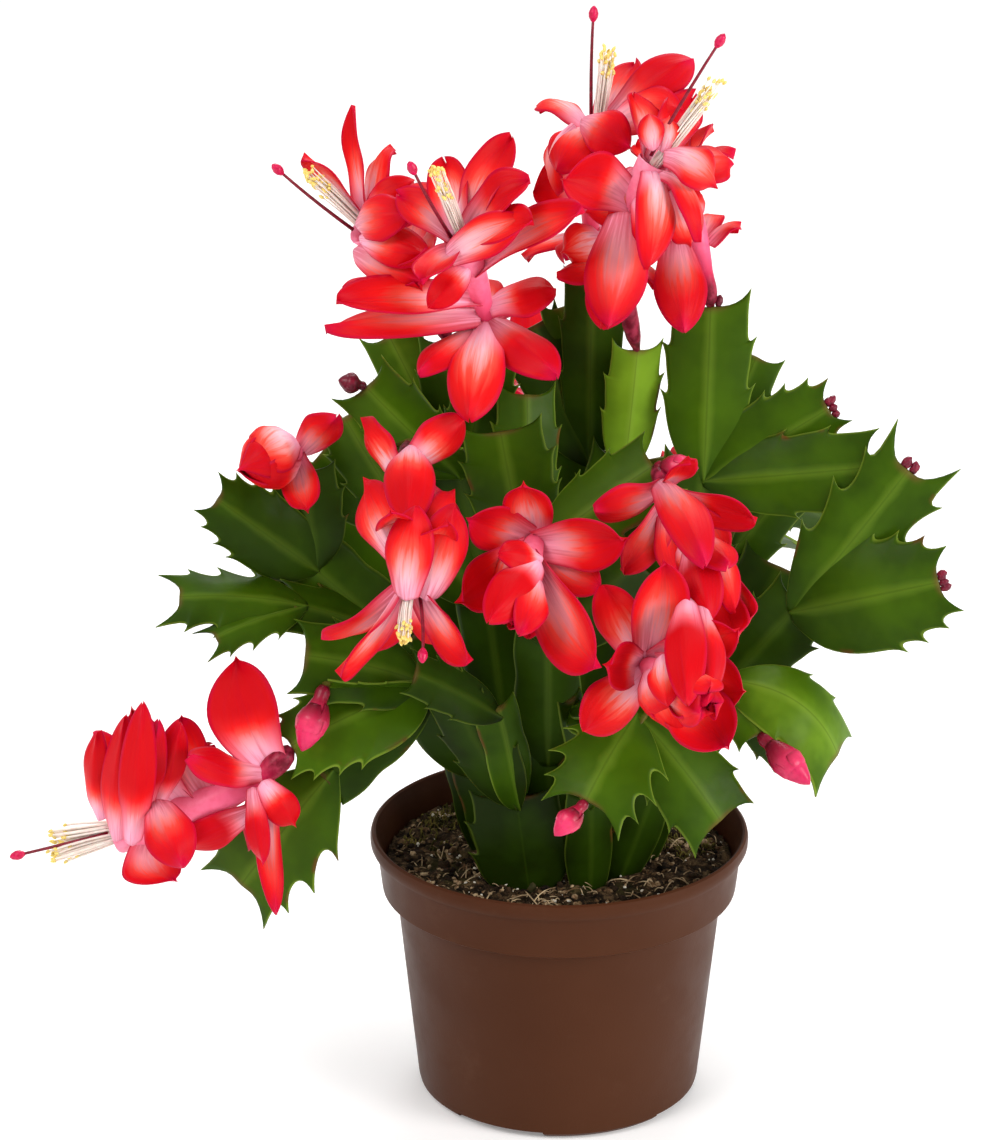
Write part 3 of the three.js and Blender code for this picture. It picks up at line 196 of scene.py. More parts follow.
# Each flower is seated on (stem, segment) and bends through `bend` to its throat. Its petals are rows
# of (place along the tube, tip, width, arch, and the way it faces, where the tube doesn't give that).
# The loose ones are rows of (root, tip, width, arch, the way it faces, how far its pale heart, partly a
# painted highlight, reaches). An open flower has a pistil that ends at `stigma`, and stamens gathered at
# `anthers`.
# `closed` is the length, radius and way of the petals that still cover a throat. `whorls` says
# whether further petals fill the far side, `girth` how stout a tube is, and `brush` how full its
# stamens are.
FLOWERS = {
    1: dict(on=("stem_left_top", 5), whorls=False, bend=(-40, 2, 270), throat=(-61, -10, 288),
            stigma=(-84, -20, 308), anthers=(-75, -17, 304), petals=[
        (0.95, (-62, 2, 322), 7, 4), (0.95, (-52, 8, 309), 11, 4), (0.95, (-77, -14, 311), 9, 5),
        (0.9, (-37, -26, 303), 13, 6), (0.62, (-38, -32, 286), 13, 6), (0.5, (-42, -26, 273), 12, 5),
        (0.4, (-66, 0, 264), 11, 4), (0.6, (-40, 18, 290), 12, 4), (0.35, (-26, 16, 272), 12, 4),
    ], loose=[
        ((-61, -15, 290), (-45, -27, 297), 13, 6, (0.1, -1, 0.5), 0.8),
        ((-60, -15, 286), (-39, -28, 284), 11, 5, (0, -1, 0.4), 0.7),
        ((-62, -12, 281), (-41, -26, 275), 11, 5, (-0.1, -1, 0.3), 0.9),
        ((-58, -6, 291), (-44, -8, 302), 10, 4, (0, -1, 0.3), 0.6),
    ]),
    2: dict(on=("stem_left_top", 6), bend=(-23, -22, 272), throat=(-31, -35, 292),
            stigma=(-44, -45, 315), anthers=(-38, -42, 311), petals=[
        (0.3, (-28, -54, 243), 15, 4), (0.3, (-2, -40, 251), 14, 3), (0.4, (-2, -20, 272), 13, 3),
        (0.45, (-67, -36, 272), 15, 4), (0.35, (-71, -24, 261), 13, 3), (0.25, (-43, -36, 251), 11, 3),
        (0.3, (-8, -6, 246), 11, 3), (0.7, (6, -45, 302), 15, 5), (0.95, (-15, -22, 318), 13, 5),
        (0.95, (-10, -36, 309), 13, 5), (0.92, (-9, -50, 300), 12, 5), (0.95, (-48, -22, 300), 10, 4),
        (0.92, (-41, -54, 283), 10, 4),
    ], loose=[
        ((-34, -39, 287), (-12, -46, 301), 12, 4, (0, -1, 0.5), 1.2),
        ((-28, -32, 282), (-40, -41, 272), 9, 3, (0, -1, 0.2), 0.5),
    ]),
    3: dict(on=("stem_centre", 3), bend=(8, 8, 290), throat=(10, 5, 317),
            stigma=(9, 8, 348), anthers=(12, 6, 336), petals=[
        (0.55, (-9, 0, 296), 12, 8, (-0.4, -1, 0.2)), (0.3, (0, -6, 278), 11, 3),
        (0.3, (-12, 14, 272), 12, 3), (0.35, (22, 22, 266), 14, 3), (0.6, (14, 28, 292), 13, 4),
        (0.95, (39, 8, 335), 12, 5, (-0.2, -1, 0.6)), (0.95, (36, -4, 322), 13, 5, (0, -1, 0.6)),
        (0.95, (-2, -14, 306), 13, 5), (0.95, (-8, 20, 318), 11, 4), (0.95, (22, 26, 328), 11, 4),
    ], loose=[
        ((3, -2, 317), (-2, -6, 296), 8, 7, (-0.8, -0.6, 0.3), 1.2),
        ((6, -4, 319), (20, -14, 313), 13, 5, (0, -1, 0.5), 0.6),
        ((21, -12, 299), (6, -16, 294), 14, 4, (0, -1, 0.3), 0.9),
        ((23, -14, 306), (11, -16, 289), 13, 4, (-0.3, -1, 0.2), 0.8),
        ((12, -10, 284), (-1, -14, 281), 13, 4, (0, -1, 0.3), 1.0),
    ]),
    4: dict(on=("stem_centre", 7), bend=(13, -16, 286), throat=(27, -18, 311),
            stigma=(45, -22, 347), anthers=(42, -19, 333), petals=[
        (0.45, (11, -34, 264), 14, 4), (0.4, (-2, -22, 277), 11, 3), (0.4, (30, -2, 268), 12, 3),
        (0.95, (24, -42, 284), 13, 5), (0.95, (40, -34, 290), 11, 6),
        (0.75, (-1, -30, 308), 15, 4, (0, -1, 0.3)), (0.85, (51, -12, 308), 13, 7, (0.3, -0.5, 0.9)),
        (0.95, (38, 6, 322), 11, 5), (0.95, (20, 0, 324), 10, 5),
    ], loose=[
        ((30, -23, 314), (45, -26, 304), 12, 8, (0.4, -1, 0.6), 1.1),
        ((26, -22, 315), (25, -22, 326), 7, 2, (0, -1, 0.1), 1.3),
        ((29, -20, 314), (31, -18, 324), 7, 2, (0.2, -1, 0.1), 1.3),
        ((32, -20, 302), (38, -16, 283), 11, 4, (0.3, -1, 0.2), 0.9),
        ((18, -24, 296), (13, -36, 264), 16, 5, (0, -1, 0.2), 1.0),
        ((22, -21, 300), (28, -30, 283), 10, 4, (0.2, -1, 0.2), 0.8),
    ]),
    5: dict(on=("stem_right_top", 3), bend=(43, -2, 278), throat=(34, 6, 300),
            closed=(14, 4.5, (-0.1, 0.2, 1)), petals=[
        (0.5, (54, 6, 284), 12, 4), (0.6, (26, 22, 282), 12, 4), (0.95, (52, 4, 308), 11, 4),
        (0.95, (34, 28, 306), 11, 4), (0.95, (22, 16, 306), 10, 4), (0.95, (46, 20, 310), 10, 4),
    ], loose=[
        ((34, -5, 282), (36, -26, 260), 15, 4, (0, -1, 0.1), 0.8),
    ]),
    6: dict(on=("stem_left", 4), bend=(-81, -13, 222), throat=(-86, -30, 221), whorls=False,
            closed=(21, 9.5, (-1, -0.9, -0.1)), petals=[
        (0.35, (-68, -22, 232), 11, 2, (0, -1, 0)), (0.35, (-76, -36, 206), 11, 2, (0, -1, 0)),
    ]),
    7: dict(on=("stem_left_top", 7), bend=(-47, -60, 222), throat=(-44, -84, 198),
            stigma=(-41, -99, 186), anthers=(-45, -95, 190), petals=[
        (0.2, (-29, -42, 239), 14, 3), (0.3, (-60, -40, 238), 11, 3), (0.3, (-58, -62, 208), 14, 3),
        (0.3, (-32, -48, 203), 12, 3), (0.6, (-50, -94, 228), 12, 6), (0.7, (-34, -90, 224), 12, 5),
        (0.95, (-71, -80, 183), 10, 5), (0.95, (-66, -98, 180), 11, 5), (0.95, (-27, -92, 181), 14, 4),
        (0.9, (-56, -70, 178), 11, 4), (0.95, (-36, -66, 176), 11, 4),
    ], loose=[
        ((-47, -81, 208), (-58, -66, 228), 15, 5, (-0.6, -1, 0.2), 0.8),
        ((-42, -81, 208), (-32, -64, 224), 14, 5, (0.6, -1, 0.2), 0.8),
        ((-45, -50, 232), (-45, -88, 222), 14, 6, (0, -1, 0.3), 0.6),
        ((-46, -88, 199), (-43, -90, 228), 12, 4, (-0.2, -1, 0.3), 0.9),
        ((-40, -86, 198), (-32, -82, 226), 13, 4, (0.3, -1, 0.3), 0.8),
    ]),
    8: dict(on=("stem_front_centre", 2), bend=(-9, -58, 209), throat=(-12, -78, 200),
            closed=(22, 7, (-0.5, -0.45, -0.75)), petals=[
        (0.35, (-12, -64, 226), 13, 3), (0.45, (18, -76, 213), 16, 5), (0.35, (-29, -66, 216), 13, 3),
        (0.55, (-32, -84, 196), 15, 4), (0.75, (10, -102, 183), 18, 6), (0.4, (12, -72, 196), 12, 3),
        (0.4, (-10, -66, 178), 13, 3), (0.8, (-17, -98, 197), 12, 6), (0.8, (-13, -98, 193), 11, 6),
        (0.9, (-15, -96, 202), 10, 6),
    ], loose=[
        ((-7, -77, 207), (-19, -86, 212), 10, 2, (0, -0.8, 0.8), 0.5),
        ((-8, -79, 207), (-22, -104, 198), 12, 4, (-0.3, -1, 0.1), 0.4),
        ((-8, -83, 203), (-13, -104, 194), 10, 4, (0.1, -1, 0.1), 0.8),
    ]),
    9: dict(on=("stem_front_centre", 3), bend=(34, -58, 214), throat=(42, -74, 200),
            closed=(16, 6, (0.3, -0.4, -0.85)), petals=[
        (0.25, (57, -56, 212), 12, 4), (0.25, (9, -62, 216), 13, 4), (0.3, (17, -54, 195), 14, 3),
        (0.2, (36, -62, 234), 9, 3), (0.6, (47, -86, 209), 11, 6), (0.8, (50, -88, 186), 12, 7),
        (0.8, (54, -80, 188), 12, 7), (0.8, (44, -84, 184), 11, 7),
    ], loose=[
        ((29, -52, 222), (40, -93, 212), 13, 5, (0.2, -1, 0.4), 0.75),
        ((37, -72, 209), (42, -90, 193), 12, 4, (-0.1, -1, 0.2), 0.3),
        ((40, -68, 213), (49, -87, 194), 9, 4, (0.5, -1, 0.2), 0.95),
    ]),
    10: dict(on=("stem_front", 5), bend=(23, -84, 179), throat=(32, -100, 176),
            closed=(22, 8, (0.3, -0.55, -0.78)), petals=[
        (0.4, (28, -88, 211), 15, 5), (0.3, (11, -80, 200), 12, 4), (0.4, (11, -102, 184), 13, 4),
        (0.5, (5, -96, 161), 14, 4), (0.6, (47, -108, 160), 18, 6), (0.4, (50, -94, 192), 14, 4),
        (0.8, (41, -117, 184), 12, 7), (0.8, (38, -118, 176), 12, 7), (0.8, (44, -114, 177), 12, 7),
    ], loose=[
        ((28, -101, 186), (29, -114, 176), 9, 4, (-0.2, -1, 0.3), 0.95),
        ((35, -86, 198), (34, -121, 180), 11, 4, (-0.1, -1, 0.1), 0.35),
        ((40, -86, 196), (40, -118, 178), 10, 4, (0.4, -1, 0.1), 0.5),
    ]),
    11: dict(on=("stem_left_low", 3), girth=1.4, brush=1.9, bend=(-93, -56, 122), throat=(-137, -52, 109),
            stigma=(-165, -55, 103), anthers=(-154, -53, 105), petals=[
        (0.2, (-98, -50, 166), 19, 5, (0.2, -1, 0.1)), (0.25, (-110, -74, 144), 12, 3, (0.3, -0.6, 0.8)),
        (0.25, (-86, -70, 90), 7, 4, (0.3, -1, 0)), (0.8, (-142, -44, 139), 13, 5, (-0.2, -1, 0.2)),
        (0.7, (-129, -58, 153), 15, 5, (0, -1, 0.2)), (0.6, (-115, -48, 146), 13, 4, (0.2, -1, 0.2)),
        (0.85, (-116, -66, 99), 16, 6, (0.2, -1, -0.2)), (0.8, (-122, -22, 124), 14, 5),
        (0.85, (-124, -26, 97), 14, 4),
    ], loose=[
        ((-140, -55, 115), (-139, -64, 147), 8, 3, (-0.4, -1, 0.2), 0.5),
        ((-135, -59, 110), (-130, -71, 155), 10, 4, (-0.3, -1, 0.2), 0.5),
        ((-130, -60, 109), (-124, -76, 161), 10, 4, (0.1, -1, 0.2), 0.45),
        ((-126, -58, 119), (-120, -70, 153), 8, 3, (0.1, -1, 0.2), 0.35),
        ((-122, -58, 121), (-114, -66, 151), 9, 3, (0.3, -1, 0.2), 0.4),
        ((-122, -63, 124), (-113, -80, 110), 14, 4, (0.1, -1, 0.3), 0.75),
        ((-94, -58, 118), (-116, -60, 108), 10, 3, (0, -1, -0.1), 0.35),
        ((-90, -62, 130), (-80, -64, 116), 9, 4, (0.3, -1, 0.2), 0.5),
        ((-93, -62, 128), (-90, -70, 106), 7, 4, (0, -1, 0.2), 0.45),
    ]),
    12: dict(on=("stem_back", 4), bend=(-2, 84, 198), throat=(-8, 98, 206),
            stigma=(-14, 126, 224), anthers=(-12, 116, 217), petals=[
        (0.3, (12, 84, 216), 13, 3), (0.3, (-24, 82, 205), 13, 3), (0.3, (-18, 92, 184), 13, 3),
        (0.4, (12, 98, 190), 13, 3), (0.7, (-26, 108, 196), 13, 5), (0.95, (6, 112, 214), 12, 4),
        (0.85, (-10, 106, 230), 12, 4), (0.95, (-26, 108, 216), 11, 4), (0.95, (-10, 122, 196), 12, 4),
    ]),
    13: dict(on=("stem_back_left", 5), bend=(-80, 104, 154), throat=(-82, 113, 141),
            stigma=(-92, 140, 116), anthers=(-90, 133, 123), petals=[
        (0.3, (-60, 106, 162), 13, 3), (0.3, (-90, 84, 150), 13, 3), (0.3, (-72, 120, 152), 12, 3),
        (0.4, (-100, 94, 142), 12, 3), (0.9, (-106, 116, 152), 13, 4), (0.95, (-70, 134, 148), 12, 4),
        (0.95, (-68, 116, 122), 12, 4), (0.9, (-94, 104, 122), 12, 4),
    ]),
    14: dict(on=("stem_back_right", 5), bend=(50, 84, 174), throat=(52, 96, 180),
            closed=(14, 5, (0.1, 0.8, 0.3)), petals=[
        (0.3, (72, 80, 180), 13, 3), (0.3, (34, 76, 188), 13, 3), (0.35, (60, 92, 158), 12, 3),
        (0.35, (36, 92, 164), 12, 3), (0.8, (66, 106, 172), 13, 6), (0.8, (40, 106, 172), 12, 6),
        (0.85, (58, 104, 194), 12, 6), (0.85, (44, 100, 194), 12, 6),
    ]),
}

# Flowers that cross each other are one bloom.
BLOOMS = {
    "bloom_top_left": (1, 2), "bloom_top_right": (3, 4), "bloom_far_right": (5,), "bloom_left": (6,),
    "bloom_front_left": (7,), "bloom_front_centre": (8,), "bloom_front_right": (9,),
    "bloom_front_low": (10,), "bloom_low_left": (11,), "bloom_back": (12,), "bloom_back_left": (13,),
    "bloom_back_right": (14,),
}
# Each bud: the (stem, segment) it is seated on, the way it points, its length, its radius, and how
# dark it is.
BUDS = {
    "bud_left_top": (("stem_left_top", 3), (-1, -0.3, 0.35), 9, 3, 1.0),
    "bud_left_low": (("stem_left_low", 6), (-0.32, -0.5, -0.8), 21, 4.8, 0.0),
    "bud_front_low": (("stem_front", 3), (-0.9, -0.6, -0.8), 14, 3.6, 0.0),
    "bud_right_low": (("stem_right_front", 3), (0.8, -0.7, -0.6), 22, 4.6, 0.0),
    "bud_front_small": (("stem_front_centre", 3), (0.85, -0.55, 0.15), 15, 3.6, 0.0),
}
# The smallest bud has no solid of its own.
BUDS_WITHOUT_SOLID = ("bud_front_small",)
# Bare segment tips that carry a row of dark beads.
BEADED_TIPS = [("stem_right_top", 3), ("stem_right_top", 5), ("stem_right_low", 3), ("stem_right_low", 4)]
BEADS_TO_A_TIP = 4
BEAD_GAP = 1.5

# The woody foot of a stem runs between these heights, and its first segment starts a little sunk.
STEM_FOOT_DEPTH = 70.5
STEM_FOOT_TOP = 86.0
FIRST_BLADE = 80.0
SUNK = 7.0
# How far along a segment the next ones are rooted in it, and where its flowering tip lies.
SEGMENT_SEAT = 0.86
AREOLE = 0.95
# How far the pale hearts of petals may reach; they are partly the petals' own colour and partly painted
# highlight.
PALE_HEARTS_AND_HIGHLIGHTS = (0.5, 0.7, 0.8, 0.95)
# A petal starts this share of the radius out from the middle of its tube, and its bend lies this
# share of the way to its tip.
PETAL_ROOT = 0.6
PETAL_BEND = 0.38
LOOSE_BEND = 0.42
# A throat that is still closed is covered from a little behind this place along the tube, by petals
# wrapped at these turns from the camera's side, round a heart that is slimmer and shorter.
COVER_STATION = 0.72
COVER_SUNK = 1.5
COVER_TURNS = (0.5, -1.3, 2.3, 3.7, 0.2)
HEART_GIRTH = 0.68
HEART_LENGTH = 0.84
# Petals that leave a tube past this share of its length belong to its upper whorl. Where a whorl is
# filled, on the side away from the camera, its petals stand this angle apart, reach no farther
# than this, and stay above the pot.
UPPER_WHORL = 0.65
WHORL_GAP = 0.9
WHORL_REACH = 26.0
WHORL_FLOOR = 95.0
FAR_SIDE = -0.15
TO_CAMERA = np.array((0.0, -0.94, 0.35))
# How far to one side of the throat the pistil stands, how far to the other the stamens and their
# anthers do, and how deep in the throat the stamens start.
PISTIL_ASIDE = 2.0
STAMENS_ASIDE = 0.9
ANTHERS_ASIDE = 1.6
STAMENS_SUNK = 2.5
FILAMENTS = 40
# The angle from one filament to the next, which spreads them evenly.
FILAMENT_TURN = 2.4
# Ways that no tube, bud or thread runs along: the directions across one are found from them.
SLANT = (0.3, 0.5, 0.8)
ROD_SLANT = (0.31, 0.52, 0.79)

# Profiles are rows of (share of the length, radius).
WOODY_PROFILE = [(0, 2.9), (0.5, 2.4), (0.85, 1.5), (1, 0.6)]
TUBE_RADII = [(0, 1.3), (0.06, 2.4), (0.14, 2.8), (0.22, 2.4), (0.3, 2.4), (0.6, 3.9), (1.0, 5.0)]
# A tube is a rod that turns back into its own mouth: radii along the rod, and the ways they lie at.
TUBE_PROFILE = [(0, 1.0), (0.05, 2.3), (0.11, 2.8), (0.17, 2.6), (0.23, 2.3), (0.5, 3.7), (0.75, 4.7),
                (0.82, 5.0), (0.86, 4.6), (0.93, 2.8), (1.0, 0.6)]
TUBE_WAYS = [(0, 0), (0.82, 1.0), (0.87, 0.97), (1.0, 0.8)]
STYLE_PROFILE = [(0, 0.62), (1, 0.45)]
FILAMENT_PROFILE = [(0, 0.26), (1, 0.18)]
STIGMA_PROFILE = [(0, 0.4), (0.1, 0.8), (0.35, 1.4), (0.6, 1.5), (0.85, 1.0), (0.96, 0.4), (1, 0.05)]
ANTHER_PROFILE = [(0, 0.15), (0.2, 0.5), (0.6, 0.55), (0.85, 0.4), (1, 0.1)]
BEAD_PROFILE = [(0, 0.5), (0.15, 0.9), (0.45, 1.3), (0.75, 1.1), (0.93, 0.5), (1, 0.1)]
# These are for a radius of one.
BUD_PROFILE = [(0, 0.3), (0.08, 0.5), (0.2, 0.45), (0.5, 0.95), (0.75, 0.8), (0.92, 0.42), (1, 0.05)]
BUD_WRAP = [(0, 0.55), (0.2, 0.86), (0.4, 1.0), (0.65, 0.86), (0.85, 0.5), (1, 0.1)]
THROAT_WRAP = [(0, 0.6), (0.2, 0.88), (0.42, 1.0), (0.65, 0.84), (0.82, 0.46), (0.94, 0.14), (1, 0.02)]
FIBRE_PROFILE = [(0, 1.0), (0.6, 0.8), (1, 0.3)]

# ---- modelling helpers ----------------------------------------------------------------------


def take(shape):
    """Makes one object the active and only selected one."""
    bpy.ops.object.select_all(action="DESELECT")
    shape.select_set(True)
    bpy.context.view_layer.objects.active = shape


def open_shape(name):
    """Names the primitive that was just added and opens it in edit mode, with nothing selected."""
    shape = bpy.context.object
    shape.name = name
    take(shape)
    bpy.ops.object.mode_set(mode="EDIT")
    bpy.ops.mesh.select_all(action="DESELECT")
    return shape


def close_shape(shape):
    bpy.ops.object.mode_set(mode="OBJECT")
    take(shape)


def pick(shape, wanted):
    """In edit mode, selects the points for which wanted(point) holds, with the edges between them."""
    bpy.ops.mesh.select_all(action="DESELECT")
    points = bmesh.from_edit_mesh(shape.data)
    for point in points.verts:
        point.select = bool(wanted(point))
    points.select_flush(True)
    bmesh.update_edit_mesh(shape.data)


def finish_with(shape, kind, **settings):
    """Adds a modifier and applies it."""
    take(shape)
    modifier = shape.modifiers.new(kind.lower(), kind)
    for key, value in settings.items():
        setattr(modifier, key, value)
    bpy.ops.object.modifier_apply(modifier=modifier.name)


def put_away(shape):
    """A pattern is only copied from, so it leaves the scene."""
    for holder in list(shape.users_collection):
        holder.objects.unlink(shape)


def places_of(mesh):
    flat = np.empty(len(mesh.vertices) * 3)
    mesh.vertices.foreach_get("co", flat)
    return flat.reshape(-1, 3)


def read_mark(mesh, mark):
    values = np.empty(len(mesh.vertices), np.float32)
    mesh.attributes[mark].data.foreach_get("value", values)
    return values.astype(float)


def add_mark(mesh, mark, values):
    """A number per point, for the finishes to read."""
    layer = mesh.attributes.get(mark) or mesh.attributes.new(mark, "FLOAT", "POINT")
    full = np.broadcast_to(np.asarray(values, np.float32), (len(mesh.vertices),))
    layer.data.foreach_set("value", np.ascontiguousarray(full))


def copy_of(pattern, places, finish, **marks):
    """A copy of a pattern with its own mesh, its points moved to places (in millimetres). It keeps
    the pattern's marks that aren't given."""
    mesh = pattern.data.copy()
    mesh.vertices.foreach_set("co", (np.asarray(places, float) * MM).ravel())
    for mark, values in marks.items():
        add_mark(mesh, mark, values)
    mesh.materials.clear()
    mesh.materials.append(finish)
    mesh.update()
    copy = bpy.data.objects.new("copy", mesh)
    bpy.context.scene.collection.objects.link(copy)
    return copy


def join_as(name, parts):
    """Joins the parts to one smooth piece with that name."""
    bpy.ops.object.select_all(action="DESELECT")
    for part in parts:
        part.select_set(True)
    bpy.context.view_layer.objects.active = parts[0]
    if len(parts) > 1:
        bpy.ops.object.join()
    piece = bpy.context.view_layer.objects.active
    piece.name = name
    piece.data.name = name
    take(piece)
    bpy.ops.object.shade_smooth()
    return piece


def dress(piece, slot, *nodes):
    """The piece rides on the plant's one body and stands for its solids."""
    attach(piece, "root")
    if nodes:
        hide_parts(*nodes)


# ---- curves ---------------------------------------------------------------------------------


def unit(v):
    v = np.asarray(v, float)
    return v / max(float(np.linalg.norm(v)), 1e-9)


class Arc:
    """A quadratic curve from start to end, drawn towards a bend."""

    def __init__(self, start, bend, end):
        self.start, self.bend, self.end = (np.array(p, float) for p in (start, bend, end))

    def point(self, way):
        way = np.asarray(way, float)[..., None]
        return (1 - way) ** 2 * self.start + 2 * way * (1 - way) * self.bend + way ** 2 * self.end

    def tangent(self, way):
        way = np.asarray(way, float)[..., None]
        slope = 2 * (1 - way) * (self.bend - self.start) + 2 * way * (self.end - self.bend)
        return slope / np.maximum(np.linalg.norm(slope, axis=-1, keepdims=True), 1e-9)

    def length(self):
        stops = self.point(np.linspace(0, 1, 17))
        return float(np.linalg.norm(np.diff(stops, axis=0), axis=1).sum())


def straight(start, way, length):
    """An arc that doesn't bend."""
    return Arc(start, start + way * length / 2, start + way * length)


# ---- patterns -------------------------------------------------------------------------------

# Half the outline of a green segment, as rows of (way along, way out from the rib): forward teeth,
# each with a notch behind its point, and a horn beside the flat tip.
TOOTHED_EDGE = [
    (0.0, 0.14), (0.035, 0.27), (0.085, 0.46), (0.15, 0.65), (0.22, 0.79), (0.3, 0.9), (0.37, 0.96),
    (0.43, 0.995), (0.48, 1.03), (0.525, 1.12), (0.49, 0.98), (0.515, 0.925), (0.56, 0.94), (0.62, 0.98),
    (0.68, 1.0), (0.73, 1.03), (0.78, 1.12), (0.745, 0.965), (0.775, 0.9), (0.83, 0.9), (0.89, 0.89),
    (0.95, 0.89), (1.04, 0.94),
]
CLAWED_EDGE = [
    (0.0, 0.14), (0.04, 0.28), (0.1, 0.47), (0.17, 0.64), (0.24, 0.79), (0.31, 0.93), (0.37, 1.06),
    (0.42, 1.2), (0.385, 0.98), (0.405, 0.86), (0.45, 0.84), (0.51, 0.9), (0.57, 0.99), (0.63, 1.1),
    (0.69, 1.24), (0.65, 0.98), (0.67, 0.84), (0.72, 0.8), (0.78, 0.84), (0.84, 0.92), (0.91, 1.08),
    (0.875, 0.86), (0.92, 0.76), (1.12, 0.88),
]
ROUNDED_EDGE = [
    (0.0, 0.16), (0.035, 0.34), (0.09, 0.57), (0.16, 0.77), (0.25, 0.91), (0.35, 0.99), (0.45, 1.02),
    (0.54, 1.02), (0.605, 1.05), (0.655, 1.14), (0.625, 1.0), (0.645, 0.94), (0.695, 0.94), (0.745, 0.96),
    (0.795, 1.04), (0.765, 0.9), (0.785, 0.82), (0.83, 0.8), (0.885, 0.8), (0.94, 0.86), (0.905, 0.71),
    (0.93, 0.62), (0.98, 0.58), (1.05, 0.6),
]
SHOULDERED_EDGE = [
    (0.0, 0.3), (0.05, 0.5), (0.12, 0.68), (0.22, 0.82), (0.34, 0.92), (0.46, 0.97), (0.56, 0.95),
    (0.63, 0.89), (0.7, 0.92), (0.78, 0.97), (0.85, 0.97), (0.92, 0.93), (1.0, 0.86),
]
PETAL_EDGE = [
    (0.0, 0.52), (0.09, 0.6), (0.2, 0.7), (0.33, 0.83), (0.46, 0.94), (0.57, 1.0), (0.68, 0.96),
    (0.78, 0.85), (0.865, 0.68), (0.93, 0.46), (0.975, 0.23), (1.0, 0.04),
]
# Where the columns of points lie between the rib and the edge.
BLADE_COLUMNS = (0.0, 0.16, 0.46, 0.8, 1.0)
SHOULDERED_COLUMNS = (0.0, 0.3, 0.7, 1.0)
PETAL_COLUMNS = (0.0, 0.35, 0.72, 1.0)


def make_blade(name, edge, columns, rib_end, horn):
    """A flat blade of unit length and half width, two units thick, outlined by edge on both sides.
    Past the share of its width where a horn starts, its end turns out into the horn. Its marks say
    how far along and how far out from the rib each point is."""
    rows = len(edge) - 1
    half = len(columns) - 1
    bpy.ops.mesh.primitive_grid_add(x_subdivisions=2 * half, y_subdivisions=rows, size=2.0)
    blade = open_shape(name)
    grid = {}
    for k, point in enumerate(bmesh.from_edit_mesh(blade.data).verts):
        x, y, _ = point.co
        grid.setdefault((round((y + 1) / 2 * rows), abs(round(x * half))), set()).add(k)
    for row, (along, out) in enumerate(edge):
        level = 2.0 * row / rows - 1.0
        rib = rib_end * row / rows
        for column, share in enumerate(columns):
            lean = share ** 2
            if row == rows and horn is not None:
                lean = max(0.0, (share - horn) / (1 - horn)) ** 1.3
            widen = share * out * half / column if column else 1.0
            pick(blade, lambda point, chosen=grid[row, column]: point.index in chosen)
            bpy.ops.transform.resize(value=(widen, 1.0, 1.0), center_override=(0.0, 0.0, 0.0))
            bpy.ops.transform.translate(value=(0.0, rib + (along - rib) * lean - level, 0.0))
    for row in range(1, rows + 1):
        if is_tooth(edge, row):
            pick(blade, lambda point, chosen=grid[row, half]: point.index in chosen)
            bpy.ops.transform.vert_crease(value=1.0)
    close_shape(blade)
    add_mark(blade.data, "along", [0.0])
    add_mark(blade.data, "across", [0.0])
    for (row, column), chosen in grid.items():
        for k in chosen:
            side = math.copysign(1.0, blade.data.vertices[k].co.x)
            blade.data.attributes["along"].data[k].value = row / rows
            blade.data.attributes["across"].data[k].value = side * columns[column]
    finish_with(blade, "SUBSURF", levels=1, render_levels=1, boundary_smooth="PRESERVE_CORNERS")
    finish_with(blade, "SOLIDIFY", thickness=2.0, offset=0.0, use_rim=True)
    put_away(blade)
    return blade


def is_tooth(edge, row):
    """A point of the outline from which it turns back, or the last one."""
    return row == len(edge) - 1 or edge[row + 1][0] < edge[row][0]


def make_rod(name, sides, rings):
    """A closed round rod of unit radius and length, cut into rings."""
    bpy.ops.mesh.primitive_cylinder_add(vertices=sides, radius=1.0, depth=1.0, location=(0.0, 0.0, 0.5),
                                        end_fill_type="TRIFAN")
    rod = open_shape(name)
    points = bmesh.from_edit_mesh(rod.data)
    for edge in points.edges:
        edge.select = abs(edge.verts[0].co.z - edge.verts[1].co.z) > 0.5
    bmesh.update_edit_mesh(rod.data)
    bpy.ops.mesh.subdivide(number_cuts=rings - 1)
    close_shape(rod)
    bpy.ops.object.transform_apply(location=True, rotation=True, scale=True)
    put_away(rod)
    return rod


BLADES = {
    "t": make_blade("toothed_blade", TOOTHED_EDGE, BLADE_COLUMNS, AREOLE, 0.66),
    "c": make_blade("clawed_blade", CLAWED_EDGE, BLADE_COLUMNS, AREOLE, 0.5),
    "r": make_blade("rounded_blade", ROUNDED_EDGE, BLADE_COLUMNS, AREOLE, 0.5),
    "s": make_blade("shouldered_blade", SHOULDERED_EDGE, SHOULDERED_COLUMNS, AREOLE, 0.5),
}
petal_blade = make_blade("petal_blade", PETAL_EDGE, PETAL_COLUMNS, 1.0, None)
tube_rod = make_rod("tube_rod", 16, 20)
thread_rod = make_rod("thread_rod", 5, 5)

# ---- finishes -------------------------------------------------------------------------------


